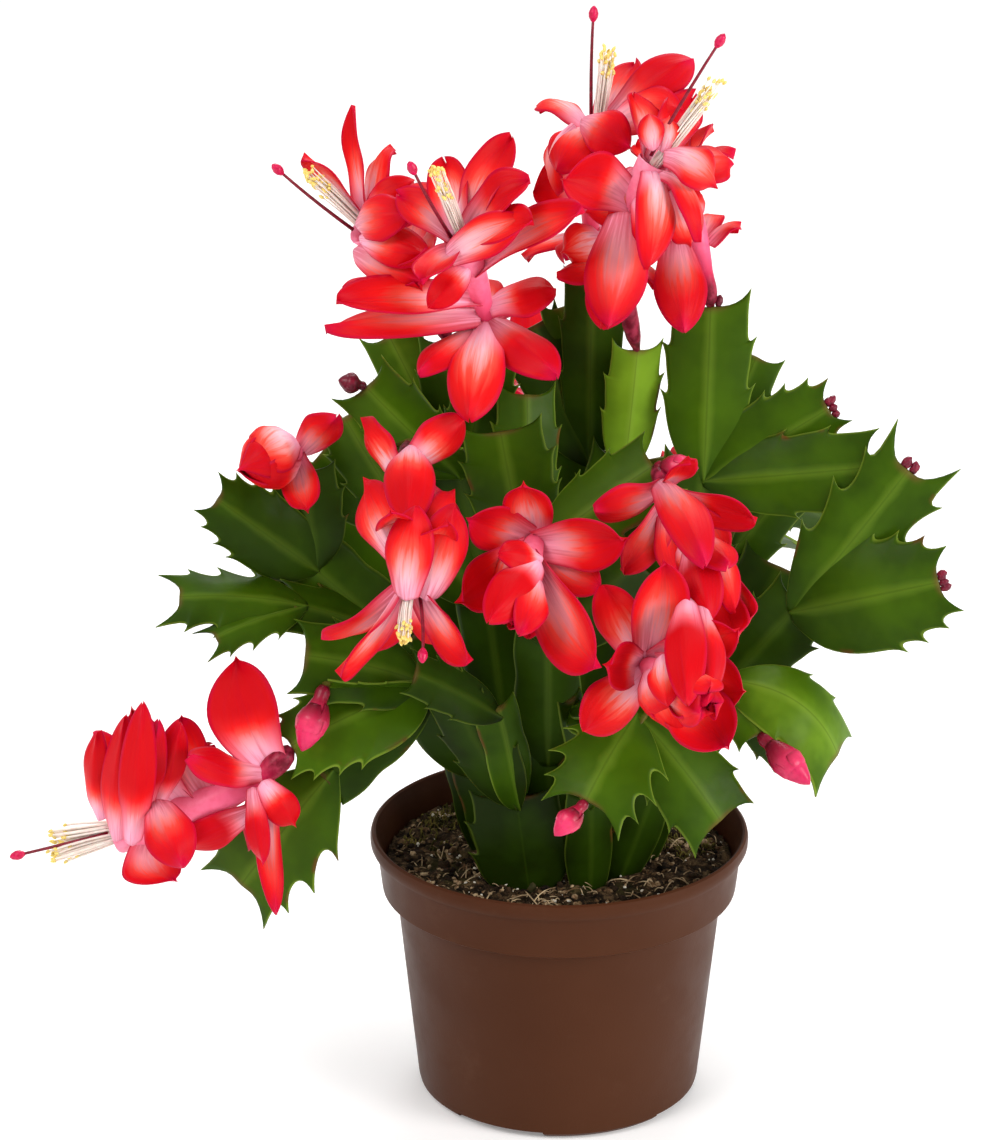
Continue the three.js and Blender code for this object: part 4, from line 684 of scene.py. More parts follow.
class Finish:
    """A material and the nodes that feed its shader."""

    def __init__(self, name, roughness, specular=0.2, subsurface=0.0, glow=0.0):
        self.material = bpy.data.materials.new(name)
        self.material.use_nodes = True
        self.tree = self.material.node_tree
        self.shader = self.tree.nodes["Principled BSDF"]
        self.skin = None
        settings = {"Roughness": roughness, "Specular IOR Level": specular,
                    "Emission Color": (1.0, 1.0, 1.0, 1.0), "Emission Strength": glow,
                    "Subsurface Weight": subsurface, "Subsurface Radius": (1.0, 0.25, 0.15),
                    "Subsurface Scale": 0.002}
        for socket, value in settings.items():
            self.shader.inputs[socket].default_value = value

    def feed(self, socket, value):
        if isinstance(value, bpy.types.NodeSocket):
            self.tree.links.new(value, socket)
        else:
            socket.default_value = value

    def node(self, kind, inputs, **settings):
        made = self.tree.nodes.new("ShaderNode" + kind)
        for key, value in settings.items():
            setattr(made, key, value)
        for key, value in inputs.items():
            self.feed(made.inputs[key], value)
        return made

    def mark(self, name):
        return self.node("Attribute", {}, attribute_name=name).outputs["Fac"]

    def noise(self, scale, detail=3.0, roughness=0.55, vector=None):
        vector = vector or self.node("TexCoord", {}).outputs["Object"]
        inputs = {"Vector": vector, "Scale": scale, "Detail": detail, "Roughness": roughness}
        return self.node("TexNoise", inputs).outputs["Fac"]

    def maths(self, operation, first, second=0.0, clamp=False):
        made = self.node("Math", {0: first, 1: second}, operation=operation, use_clamp=clamp)
        return made.outputs[0]

    def plus(self, first, second):
        return self.maths("ADD", first, second)

    def times(self, first, second, clamp=False):
        return self.maths("MULTIPLY", first, second, clamp)

    def fade(self, value, low, high, bottom=0.0, top=1.0):
        """Runs smoothly from bottom to top while value goes from low to high."""
        inputs = {"Value": value, "From Min": low, "From Max": high, "To Min": bottom, "To Max": top}
        return self.node("MapRange", inputs, interpolation_type="SMOOTHSTEP").outputs["Result"]

    def colour(self, value):
        self.skin = value
        self.feed(self.shader.inputs["Base Color"], value)

    def paint(self, value, *stops):
        """Colours the surface by a value. Each stop is (position, red, green, blue)."""
        made = self.node("ValToRGB", {"Fac": value})
        steps = made.color_ramp.elements
        while len(steps) < len(stops):
            steps.new(0.5)
        for step, (position, *colour) in zip(steps, stops):
            step.position = position
            step.color = (*colour, 1.0)
        self.colour(made.outputs["Color"])

    def tint(self, factor, *colour):
        """Takes the colours there are towards another one."""
        made = self.node("Mix", {0: factor, 6: self.skin, 7: (*colour, 1.0)}, data_type="RGBA")
        self.colour(made.outputs[2])

    def roughen(self, value):
        self.feed(self.shader.inputs["Roughness"], value)

    def bump(self, height, strength, distance):
        made = self.node("Bump", {"Height": height, "Strength": strength, "Distance": distance})
        self.feed(self.shader.inputs["Normal"], made.outputs["Normal"])


def make_green_finish():
    """Waxy segments: tone runs from old dark green to young light green. Across a segment the middle is
    painted lighter and the sides darker, as painted shading. The rib is lighter, partly its own paler colour
    and partly painted highlight; the rim is yellower, partly its own colour and partly painted edge
    highlight, and scarred in places; and the tip has a brown blush."""
    green = Finish("waxy_green", 0.34, specular=0.07, subsurface=0.03)
    out = green.maths("ABSOLUTE", green.mark("across"))
    along = green.mark("along")
    patches = green.noise(60.0)
    tone = green.plus(green.mark("tone"), green.fade(patches, 0.3, 0.7, -0.08, 0.08))
    tone = green.plus(tone, green.fade(along, 0.0, 0.3, -0.14, 0.0))
    # Painted shading: lighter down the middle of a segment and darker towards its sides.
    tone = green.plus(tone, green.fade(out, 0.15, 0.85, 0.05, -0.05))
    green.paint(tone, (0.0, 0.010, 0.021, 0.0008), (0.3, 0.023, 0.055, 0.0010),
                (0.6, 0.050, 0.112, 0.0018), (1.0, 0.175, 0.320, 0.014))
    # A paler rib band, partly the rib's own colour and partly a painted highlight, stronger on light
    # segments.
    rib = green.times(green.fade(out, 0.02, 0.2, 1.0, 0.0), green.mark("tone"))
    green.tint(green.times(rib, 0.55), 0.21, 0.34, 0.030)
    seam = green.fade(out, 0.0, 0.035, 0.35, 0.0)
    green.tint(seam, 0.030, 0.060, 0.003)
    # A yellower rim, partly the margin's own colour and partly a painted edge highlight, stronger on light
    # segments.
    rim = green.times(green.fade(out, 0.94, 1.0), green.fade(tone, 0.0, 0.8, 0.2, 0.6))
    green.tint(rim, 0.27, 0.38, 0.040)
    scarred = green.times(green.fade(green.noise(55.0), 0.6, 0.67), green.fade(out, 0.86, 0.98))
    green.tint(green.times(scarred, 0.85), 0.11, 0.040, 0.010)
    blush = green.times(green.fade(along, 0.95, 1.0), green.fade(out, 0.2, 0.6, 1.0, 0.0))
    green.tint(green.times(blush, 0.5), 0.13, 0.045, 0.02)
    green.roughen(green.fade(green.noise(180.0, 2.0), 0.3, 0.75, 0.36, 0.48))
    green.bump(green.noise(260.0, 2.0), 0.12, 0.0005)
    return green.material


def make_petal_finish():
    """Satin petals: pink at the root, pale up the middle, then orange, then scarlet, with a thin crimson
    margin. The pale heart is partly the petal's own colour and partly a painted highlight; the mark pale
    says how far it reaches."""
    petal = Finish("satin_petal", 0.42, specular=0.07, subsurface=0.12)
    across = petal.mark("across")
    along = petal.mark("along")
    tone = petal.mark("tone")
    out = petal.maths("ABSOLUTE", across)
    stretched = {"X": petal.times(across, 7.0), "Y": petal.times(along, 1.8), "Z": petal.times(tone, 60.0)}
    lines = petal.noise(1.0, vector=petal.node("CombineXYZ", stretched).outputs["Vector"])
    # The pale heart: partly the petal's own colour and partly a painted highlight across the middle of the
    # petal.
    heart = petal.maths("DIVIDE", along, petal.mark("pale"))
    heart = petal.times(petal.fade(heart, 0.15, 1.15, 1.0, 0.0), petal.fade(out, 0.15, 1.0, 1.0, 0.1))
    heart = petal.times(heart, petal.fade(lines, 0.25, 0.75, 0.7, 1.35), clamp=True)
    petal.paint(heart, (0.0, 0.57, 0.0015, 0.0055), (0.18, 0.79, 0.010, 0.0100),
                (0.42, 0.91, 0.085, 0.056), (0.68, 0.94, 0.33, 0.32), (1.0, 0.95, 0.60, 0.68))
    root = petal.times(petal.fade(along, 0.05, 0.42, 1.0, 0.0), petal.fade(out, 0.6, 1.0, 0.9, 0.35))
    petal.tint(root, 0.94, 0.41, 0.58)
    deep = petal.fade(petal.plus(lines, petal.times(tone, 0.3)), 0.5, 0.9, 0.0, 0.6)
    petal.tint(deep, 0.52, 0.003, 0.016)
    tip = petal.times(petal.fade(along, 0.78, 1.0), petal.fade(tone, 0.5, 0.9, 0.15, 0.75))
    petal.tint(tip, 0.60, 0.004, 0.060)
    margin = petal.times(petal.fade(out, 0.86, 1.0), 0.7)
    petal.tint(margin, 0.50, 0.003, 0.045)
    petal.roughen(petal.fade(lines, 0.2, 0.8, 0.36, 0.5))
    petal.bump(lines, 0.25, 0.0006)
    return petal.material


def make_tube_finish():
    tube = Finish("pink_tube", 0.32, specular=0.15, subsurface=0.12)
    streaks = tube.noise(380.0)
    tube.paint(tube.mark("along"), (0.0, 0.075, 0.002, 0.008), (0.15, 0.18, 0.004, 0.020),
               (0.24, 0.60, 0.020, 0.085), (0.4, 0.92, 0.14, 0.28), (0.8, 0.95, 0.31, 0.45),
               (1.0, 0.86, 0.13, 0.26))
    tube.tint(tube.fade(streaks, 0.35, 0.7, 0.0, 0.35), 0.78, 0.07, 0.16)
    tube.bump(streaks, 0.15, 0.0005)
    return tube.material


def make_bud_finish():
    """Magenta with darker veins. Where the mark tone is one, nearly black."""
    bud = Finish("magenta_bud", 0.34, specular=0.3, subsurface=0.08)
    veins = bud.noise(500.0)
    bud.paint(bud.mark("along"), (0.0, 0.10, 0.002, 0.010), (0.25, 0.34, 0.006, 0.035),
              (0.5, 0.76, 0.035, 0.120), (0.75, 0.80, 0.030, 0.130), (1.0, 0.56, 0.004, 0.080))
    bud.tint(bud.fade(bud.mark("tone"), 0.0, 1.0, 0.0, 0.9), 0.050, 0.002, 0.008)
    bud.tint(bud.fade(veins, 0.4, 0.7, 0.0, 0.3), 0.40, 0.006, 0.040)
    bud.bump(veins, 0.2, 0.0005)
    return bud.material


def make_pot_finish():
    """Smooth brown plastic with faint clouds and a little dust."""
    pot = Finish("brown_moulded_plastic", 0.36, specular=0.06)
    clouds = pot.noise(14.0)
    grain = pot.noise(1400.0, 2.0)
    pot.paint(clouds, (0.3, 0.060, 0.0190, 0.0076), (0.7, 0.073, 0.0250, 0.0108))
    dust = pot.times(pot.fade(pot.noise(45.0, 5.0, 0.7), 0.58, 0.75), 0.08)
    pot.tint(dust, 0.16, 0.085, 0.05)
    pot.roughen(pot.fade(pot.noise(70.0, 4.0), 0.3, 0.7, 0.38, 0.48))
    pot.bump(pot.plus(grain, pot.times(clouds, 0.4)), 0.08, 0.0004)
    return pot.material


def make_soil_finish():
    """Lumps that are near black in their hollows and tan on their tops, partly the peat's own colour and
    partly painted shade in the hollows, with pale specks and mossy patches.
    """
    soil = Finish("potting_soil", 0.92, specular=0.1)
    lumps = soil.noise(260.0, 6.0, 0.7)
    # The colour follows the bump: near black in the hollows, partly the peat's own dark colour and partly
    # painted shade, and tan on the tops.
    soil.paint(lumps, (0.36, 0.004, 0.0025, 0.0015), (0.5, 0.034, 0.020, 0.010),
               (0.66, 0.17, 0.105, 0.052))
    soil.tint(soil.fade(soil.noise(900.0), 0.6, 0.7, 0.0, 0.6), 0.30, 0.21, 0.11)
    soil.tint(soil.fade(soil.noise(45.0), 0.54, 0.66, 0.0, 0.4), 0.065, 0.060, 0.014)
    soil.bump(lumps, 0.9, 0.003)
    return soil.material


def make_crumb_finish():
    crumb = Finish("bark_and_peat", 0.85, specular=0.12)
    grain = crumb.noise(700.0, 4.0, 0.65)
    tone = crumb.plus(crumb.mark("tone"), crumb.fade(grain, 0.3, 0.7, -0.15, 0.15))
    crumb.paint(tone, (0.0, 0.006, 0.0035, 0.002), (0.45, 0.040, 0.023, 0.011),
                (0.75, 0.15, 0.086, 0.040), (1.0, 0.50, 0.36, 0.21))
    crumb.bump(grain, 0.7, 0.0012)
    return crumb.material


def make_mottled_finish(name, first, second, scale, roughness, strength, relief=0.0006, **shader):
    """Two close colours in a fine mottle, with a bump of that strength and relief."""
    plain = Finish(name, roughness, **shader)
    mottle = plain.noise(scale, 4.0)
    plain.paint(mottle, (0.35, *first), (0.65, *second))
    plain.bump(mottle, strength, relief)
    return plain.material


# Plain finishes: the two colours, the scale of the mottle, the roughness, the strength of the bump,
# and what else differs from the usual.
MOTTLED_LOOKS = {
    "old_wood": ((0.020, 0.024, 0.005), (0.055, 0.045, 0.015), 420.0, 0.75, 0.6, dict(relief=0.0008)),
    "dark_red_style": ((0.14, 0.002, 0.012), (0.26, 0.005, 0.025), 600.0, 0.35, 0.2, dict(specular=0.3)),
    "crimson_stigma": ((0.46, 0.002, 0.045), (0.66, 0.006, 0.085), 900.0, 0.3, 0.3, dict(specular=0.3)),
    "white_filament": ((0.90, 0.74, 0.66), (0.95, 0.88, 0.80), 500.0, 0.45, 0.1, dict(subsurface=0.1)),
    "yellow_anther": ((0.86, 0.60, 0.11), (0.94, 0.80, 0.32), 1800.0, 0.7, 0.6, dict(specular=0.1)),
    "white_grit": ((0.62, 0.56, 0.44), (0.88, 0.84, 0.74), 1500.0, 0.8, 0.6, dict(specular=0.1)),
    "tan_fibre": ((0.16, 0.090, 0.042), (0.66, 0.50, 0.30), 160.0, 0.8, 0.3, dict(specular=0.1)),
    "golden_moss": ((0.040, 0.038, 0.007), (0.22, 0.18, 0.045), 160.0, 0.85, 0.3, dict(specular=0.1)),
    "pale_floor": ((0.88, 0.88, 0.88), (0.90, 0.90, 0.90), 3.0, 0.8, 0.02, dict(specular=0.1, glow=0.2)),
}

green_finish = make_green_finish()
petal_finish = make_petal_finish()
tube_finish = make_tube_finish()
bud_finish = make_bud_finish()
pot_finish = make_pot_finish()
soil_finish = make_soil_finish()
crumb_finish = make_crumb_finish()
MOTTLED = {name: make_mottled_finish(name, *look[:5], **look[5]) for name, look in MOTTLED_LOOKS.items()}

# ---- rods and segments ----------------------------------------------------------------------


def scaled(profile, by):
    return [(way, radius * by) for way, radius in profile]


def lay_rod(pattern, arc, profile, finish, ways=None, **marks):
    """A rod along an arc. The profile is radii against the rod's own length, which runs over the
    ways of the arc (from start to end where none are given)."""
    x, y, z = places_of(pattern.data).T
    way = z if ways is None else np.interp(z, *zip(*ways))
    radius = np.interp(z, *zip(*profile))
    tangent = arc.tangent(way)
    across = np.cross(ROD_SLANT, tangent)
    across /= np.linalg.norm(across, axis=1, keepdims=True)
    third = np.cross(across, tangent)
    places = arc.point(way) + across * (x * radius)[:, None] + third * (y * radius)[:, None]
    return copy_of(pattern, places, finish, along=z, **marks)


def grow(foot, segments):
    """Each segment as its curve, the direction across it, its width and its cup."""
    grown = []
    for row in segments:
        parent, tip, width, face, bow, cup = (*row, 1, 1)[:6]
        base = (*foot, FIRST_BLADE - SUNK) if parent < 0 else grown[parent][0].point(SEGMENT_SEAT)
        base, tip = np.array(base, float), np.array(tip, float)
        side = unit(np.cross(unit(tip - base), face))
        front = np.cross(side, unit(tip - base))
        grown.append((Arc(base, (base + tip) / 2 + front * bow * 2, tip), side, width, cup))
    return grown


def lay_segment(pattern, arc, side, width, cup, tone):
    """A segment along its curve, mirrored or not, a little uneven, wavy and twisted."""
    x, y, z = places_of(pattern.data).T
    across = read_mark(pattern.data, "across")
    if draw.random() < 0.5:
        x, z, across = -x, -z, -across
    uneven = 1.0 + draw.uniform(-0.05, 0.05) * np.sign(x)
    y = y + draw.uniform(-0.02, 0.02) * x * np.minimum(y * 2, 1.0)
    way = np.minimum(y, 1.0)
    tangent = arc.tangent(way)
    normal = np.cross(side, tangent)
    wave = draw.uniform(0.3, 0.9) * np.sin(way * draw.uniform(5, 8) + draw.uniform(0, 6)) * across ** 2
    twist = draw.uniform(-0.9, 0.9) * across * way
    bulge = 0.32 + 0.5 * (1 - across ** 2) + 0.36 * np.exp(-(across / 0.15) ** 2)
    bulge *= np.interp(way, [0, 0.08, 0.3, 1.0], [1.5, 1.15, 1.0, 0.85])
    lift = -cup * x ** 2 + wave + twist + z * bulge
    places = arc.point(way) + tangent * ((y - way) * arc.length())[:, None]
    places += side * (x * uneven * width / 2)[:, None] + normal * lift[:, None]
    return copy_of(pattern, places, green_finish, across=across, tone=tone)


def make_stem(name):
    (x, y), _, tones, outlines = STEMS[name]
    foot = Arc((x, y, STEM_FOOT_DEPTH), (x, y, FIRST_BLADE), (x, y, STEM_FOOT_TOP))
    parts = [lay_rod(tube_rod, foot, WOODY_PROFILE, MOTTLED["old_wood"], across=0.0, tone=0.3)]
    for segment, tone, outline in zip(grown[name], tones, outlines):
        parts.append(lay_segment(BLADES[outline], *segment, int(tone) / 10))
    dress(join_as(name.replace("stem", "leaves"), parts), "stem", name)


grown = {name: grow(stem[0], stem[1]) for name, stem in STEMS.items()}

# ---- blooms ---------------------------------------------------------------------------------


def seat(on, bend):
    """Just clear of the flowering tip of the segment that carries the bloom."""
    arc = grown[on[0]][on[1]][0]
    tip, along = arc.point(AREOLE), arc.tangent(AREOLE)
    away = unit(np.array(bend, float) - tip)
    lean = float(np.linalg.norm(np.cross(along, away)))
    return tip + away * 0.5 * lean


def tube_of(flower):
    return Arc(seat(flower["on"], flower["bend"]), flower["bend"], flower["throat"])


def throat_of(flower):
    """The middle of the throat, the side of it on which the pistil stands, and the way out."""
    forward = tube_of(flower).tangent(1.0)
    towards = np.array(flower["stigma"], float) - np.array(flower["anthers"], float)
    side = unit(towards - forward * towards.dot(forward))
    return np.array(flower["throat"], float) + forward * 0.4, side, forward


def ways_across(way):
    """Two directions square to a way and to each other."""
    first = unit(np.cross(way, SLANT))
    return first, np.cross(way, first)


def shape_petal(arc, side, width, hug, pale):
    """One petal along its arc. It is hollow towards the tube where hug is -1, and away where 1."""
    x, y, z = places_of(petal_blade.data).T
    across = read_mark(petal_blade.data, "across")
    normal = np.cross(side, arc.tangent(y))
    normal /= np.linalg.norm(normal, axis=1, keepdims=True)
    width *= draw.uniform(1.08, 1.22)
    cup = hug * width * draw.uniform(0.10, 0.18) * across ** 2
    rib = -hug * 0.4 * np.exp(-(across / 0.3) ** 2)
    ruffle = draw.uniform(0.3, 0.8) * np.sin(y * draw.uniform(7, 12) + draw.uniform(0, 6)) * across ** 2
    ruffle += draw.uniform(-0.9, 0.9) * across * y
    curl = draw.uniform(-0.4, 1.6) * np.maximum(y - 0.7, 0) ** 2 * 10 * hug
    lift = cup + rib + ruffle + curl + z * (0.22 + 0.3 * (1 - across ** 2))
    places = arc.point(y) + side * (x * width / 2)[:, None] + normal * lift[:, None]
    return copy_of(petal_blade, places, petal_finish, tone=draw.random(), pale=pale)


def lay_petal(tube, station, tip, width, arch, face=None):
    """A petal that leaves the tube at its station."""
    middle, forward = tube.point(station), tube.tangent(station)
    tip = np.array(tip, float)
    out = tip - middle
    radial = unit(out - forward * out.dot(forward))
    root = middle + radial * np.interp(station, *zip(*TUBE_RADII)) * PETAL_ROOT
    lift = 1.7 if station > UPPER_WHORL else 1.1
    bend = root + (tip - root) * PETAL_BEND + forward * arch * lift + radial * arch * 0.7
    side = unit(np.cross(out, face) if face else np.cross(forward, radial))
    side = unit(side + unit(tip - root) * draw.uniform(-0.06, 0.06))
    hug = -1.0 if unit(tip - root).dot(forward) > 0.3 else 1.0
    return shape_petal(Arc(root, bend, tip), side, width, hug, draw.choice(PALE_HEARTS_AND_HIGHLIGHTS))


def lay_loose_petal(root, tip, width, arch, face, pale):
    """A petal from root to tip that bulges the way it faces."""
    root, tip = np.array(root, float), np.array(tip, float)
    side = unit(np.cross(tip - root, face))
    front = unit(np.cross(side, tip - root))
    bend = root + (tip - root) * LOOSE_BEND + front * arch * 1.6
    return shape_petal(Arc(root, bend, tip), side, width, -1.0, pale)


def wrap_petal(foot, way, turn, length, radius, profile, finish, **marks):
    """A petal folded round a closed bud."""
    first, second = ways_across(way)
    x, y, z = places_of(petal_blade.data).T
    angle = turn + x * 1.2
    reach = radius * np.interp(y, *zip(*profile)) + z * 0.2
    places = foot + way * (length * y)[:, None]
    places += first * (np.cos(angle) * reach)[:, None] + second * (np.sin(angle) * reach)[:, None]
    return copy_of(petal_blade, places, finish, **marks)


def close_throat(tube, length, radius, way):
    """The petals that still cover the throat of a flower that is not open yet, the outermost one
    on the side of the camera."""
    way = unit(way)
    foot = tube.point(COVER_STATION) - way * COVER_SUNK
    first, second = ways_across(way)
    front = math.atan2(second.dot(TO_CAMERA), first.dot(TO_CAMERA))
    heart = straight(foot, way, length * HEART_LENGTH)
    parts = [lay_rod(tube_rod, heart, scaled(BUD_PROFILE, radius * HEART_GIRTH), petal_finish,
                     across=0.5, tone=0.4, pale=0.5)]
    for k, turn in enumerate(COVER_TURNS):
        reach = length * (0.82 + 0.045 * k)
        girth = radius * (1.06 - 0.06 * k)
        parts.append(wrap_petal(foot, way, front + turn, reach, girth, THROAT_WRAP, petal_finish,
                                tone=draw.random(), pale=draw.choice(PALE_HEARTS_AND_HIGHLIGHTS)))
    return parts


def around(tube, station, tip, width, arch, *_):
    """How a petal stands round its tube: its turn, reach and rise, and its station, width and arch."""
    forward = tube.tangent(station)
    first, second = ways_across(forward)
    out = np.array(tip, float) - tube.point(station)
    x, y = out.dot(first), out.dot(second)
    return math.atan2(y, x), math.hypot(x, y), out.dot(forward), station, width, arch


def between(whorl):
    """Rows for the wide gaps of a whorl, each a mix of the rows on both sides of its gap."""
    whorl = sorted(whorl)
    once_round = (whorl[0][0] + 2 * math.pi, *whorl[0][1:])
    for one, two in zip(whorl, [*whorl[1:], once_round]):
        steps = round((two[0] - one[0]) / WHORL_GAP)
        for k in range(1, steps):
            share = k / steps
            yield [(1 - share) * a + share * b for a, b in zip(one, two)]


def fill_whorls(tube, petals):
    """Further petals wherever a whorl has a wide gap on its far side."""
    added = []
    for lower in (True, False):
        whorl = [around(tube, *petal) for petal in petals if (petal[0] < UPPER_WHORL) == lower]
        if len(whorl) < 2:
            continue
        for turn, reach, rise, station, width, arch in between(whorl):
            forward = tube.tangent(station)
            first, second = ways_across(forward)
            radial = first * math.cos(turn) + second * math.sin(turn)
            if radial.dot(TO_CAMERA) > FAR_SIDE:
                continue
            reach = min(reach, WHORL_REACH) * draw.uniform(0.8, 0.95)
            tip = tube.point(station) + radial * reach + forward * rise * 0.9
            if tip[2] >= WHORL_FLOOR:
                added.append((station, tuple(tip), width, arch))
    return added


def make_bloom(name, numbers):
    parts = []
    for flower in (FLOWERS[number] for number in numbers):
        tube = tube_of(flower)
        profile = scaled(TUBE_PROFILE, flower.get("girth", 1.0))
        parts.append(lay_rod(tube_rod, tube, profile, tube_finish, ways=TUBE_WAYS,
                             across=0.0, tone=0.5, pale=0.5))
        petals = flower["petals"]
        if flower.get("whorls", True):
            petals = petals + fill_whorls(tube, petals)
        parts += [lay_petal(tube, *petal) for petal in petals]
        parts += [lay_loose_petal(*petal) for petal in flower.get("loose", [])]
        if "closed" in flower:
            parts += close_throat(tube, *flower["closed"])
    dress(join_as(name.replace("bloom", "petals"), parts), "petal", name)


def make_pistil(number):
    """A style with its stigma, beside the stamens."""
    flower = FLOWERS[number]
    foot, side, forward = throat_of(flower)
    foot = foot + side * PISTIL_ASIDE
    end = np.array(flower["stigma"], float)
    style = Arc(foot, (foot + end) / 2 + side * 0.8 + forward * 0.8, end)
    way = style.tangent(1.0)
    knob = Arc(end - way * 2.0, end, end + way * 3.0)
    parts = [lay_rod(thread_rod, style, STYLE_PROFILE, MOTTLED["dark_red_style"]),
             lay_rod(tube_rod, knob, STIGMA_PROFILE, MOTTLED["crimson_stigma"])]
    dress(join_as(f"style_{number}", parts), "pistil", f"pistil_{number}")


def make_stamens(number):
    """Fine filaments that spread from the throat, each with its anther."""
    flower = FLOWERS[number]
    brush = flower.get("brush", 1.0)
    thickness = scaled(FILAMENT_PROFILE, brush)
    foot, side, forward = throat_of(flower)
    foot = foot - side * STAMENS_ASIDE
    centre = np.array(flower["anthers"], float) - side * ANTHERS_ASIDE
    reach = unit(centre - foot)
    length = float(np.linalg.norm(centre - foot))
    cross = unit(np.cross(side, reach))
    parts = []
    for k in range(FILAMENTS):
        spread = math.sqrt((k + 0.5) / FILAMENTS) * brush
        x, y = math.cos(k * FILAMENT_TURN) * spread, math.sin(k * FILAMENT_TURN) * spread
        start = foot - forward * STAMENS_SUNK
        start = start + cross * (x * 1.6) + side * (y * 1.6)
        end = foot + reach * length * draw.uniform(0.66, 1.16)
        end = end + cross * (x * 3.0) + side * (y * 2.2)
        bend = (start + end) / 2 + reach * 2
        bend = bend + side * draw.uniform(-0.8, 0.8) + cross * draw.uniform(-0.8, 0.8)
        parts.append(lay_rod(thread_rod, Arc(start, bend, end), thickness, MOTTLED["white_filament"]))
        lean = unit(reach + cross * draw.uniform(-0.8, 0.8) + side * draw.uniform(-0.8, 0.8))
        anther = Arc(end - lean * 0.5, end, end + lean * draw.uniform(0.9, 1.5))
        parts.append(lay_rod(thread_rod, anther, ANTHER_PROFILE, MOTTLED["yellow_anther"]))
    dress(join_as(f"anthers_{number}", parts), "stamen", f"stamens_{number}")


def make_bud(name):
    """A closed bud, wrapped in four petals."""
    (stem, segment), way, length, radius, dark = BUDS[name]
    way = unit(way)
    foot = seat((stem, segment), grown[stem][segment][0].point(AREOLE) + way)
    body = straight(foot, way, length)
    parts = [lay_rod(tube_rod, body, scaled(BUD_PROFILE, radius), bud_finish, tone=dark, across=0.0)]
    for k in range(4):
        start = length * (0.2 + 0.05 * k)
        reach = length * (0.94 - 0.02 * k) - start
        parts.append(wrap_petal(foot + way * start, way, k * 1.7, reach, radius * 1.04, BUD_WRAP, bud_finish,
                                tone=dark, pale=0.5))
    solids = [] if name in BUDS_WITHOUT_SOLID else [name]
    dress(join_as(name.replace("bud", "bud_skin"), parts), "bud", *solids)


def make_beads():
    """Tiny dark beads, the first sign of new buds, in a row across bare segment tips."""
    parts = []
    for stem, segment in BEADED_TIPS:
        arc, side, _, _ = grown[stem][segment]
        for k in range(BEADS_TO_A_TIP):
            start = arc.point(AREOLE) + side * (k - (BEADS_TO_A_TIP - 1) / 2) * BEAD_GAP
            way = unit(arc.tangent(1.0) + side * draw.uniform(-0.5, 0.5))
            reach = draw.uniform(2.6, 4.2)
            bead = straight(start, way, reach)
            parts.append(lay_rod(tube_rod, bead, BEAD_PROFILE, bud_finish, tone=1.0, across=0.0))
    dress(join_as("tip_beads", parts), "bud")


for stem_name in STEMS:
    make_stem(stem_name)
for bloom_name, bloom_flowers in BLOOMS.items():
    make_bloom(bloom_name, bloom_flowers)
for flower_number, open_flower in FLOWERS.items():
    if "stigma" in open_flower:
        make_pistil(flower_number)
        make_stamens(flower_number)
for bud_name in BUDS:
    make_bud(bud_name)
make_beads()

# ---- pot ------------------------------------------------------------------------------------

POT_SIDES = 96
# Radii and heights round the wall, from the foot up the outside, over the bead and down inside.
POT_PROFILE = [
    (40.5, 0.0), (43.2, 0.7), (44.6, 2.0), (45.1, 4.0), (51.7, 66.6), (52.4, 68.0), (53.8, 68.5),
    (55.6, 68.5), (56.2, 69.0), (56.4, 70.2), (57.7, 81.6), (58.3, 82.6), (59.3, 83.0), (59.9, 84.2),
    (60.0, 86.0), (59.6, 87.5), (58.9, 88.0), (58.2, 87.6), (57.0, 84.6), (56.1, 82.0), (54.8, 70.8),
    (50.2, 70.4), (43.6, 4.4), (40.5, 4.1),
]
# Four channels cross the foot, each with a drain hole.
CHANNEL_TURNS = [math.radians(63.5 + 90 * quarter) for quarter in range(4)]
CHANNEL_SIZE = (26 * MM, 30 * MM, 5 * MM)
CHANNEL_REACH = 41 * MM
DRAIN_RADIUS = 3 * MM
DRAIN_DEPTH = 20 * MM
DRAIN_REACH = 37 * MM


def cut_away(body, cutter, reach, turn):
    """Takes the cutter's shape out of the body, at a reach and turn from its middle."""
    cutter.location = (reach * math.cos(turn), reach * math.sin(turn), 0.0)
    finish_with(body, "BOOLEAN", operation="DIFFERENCE", solver="EXACT", object=cutter)
    bpy.data.objects.remove(cutter)


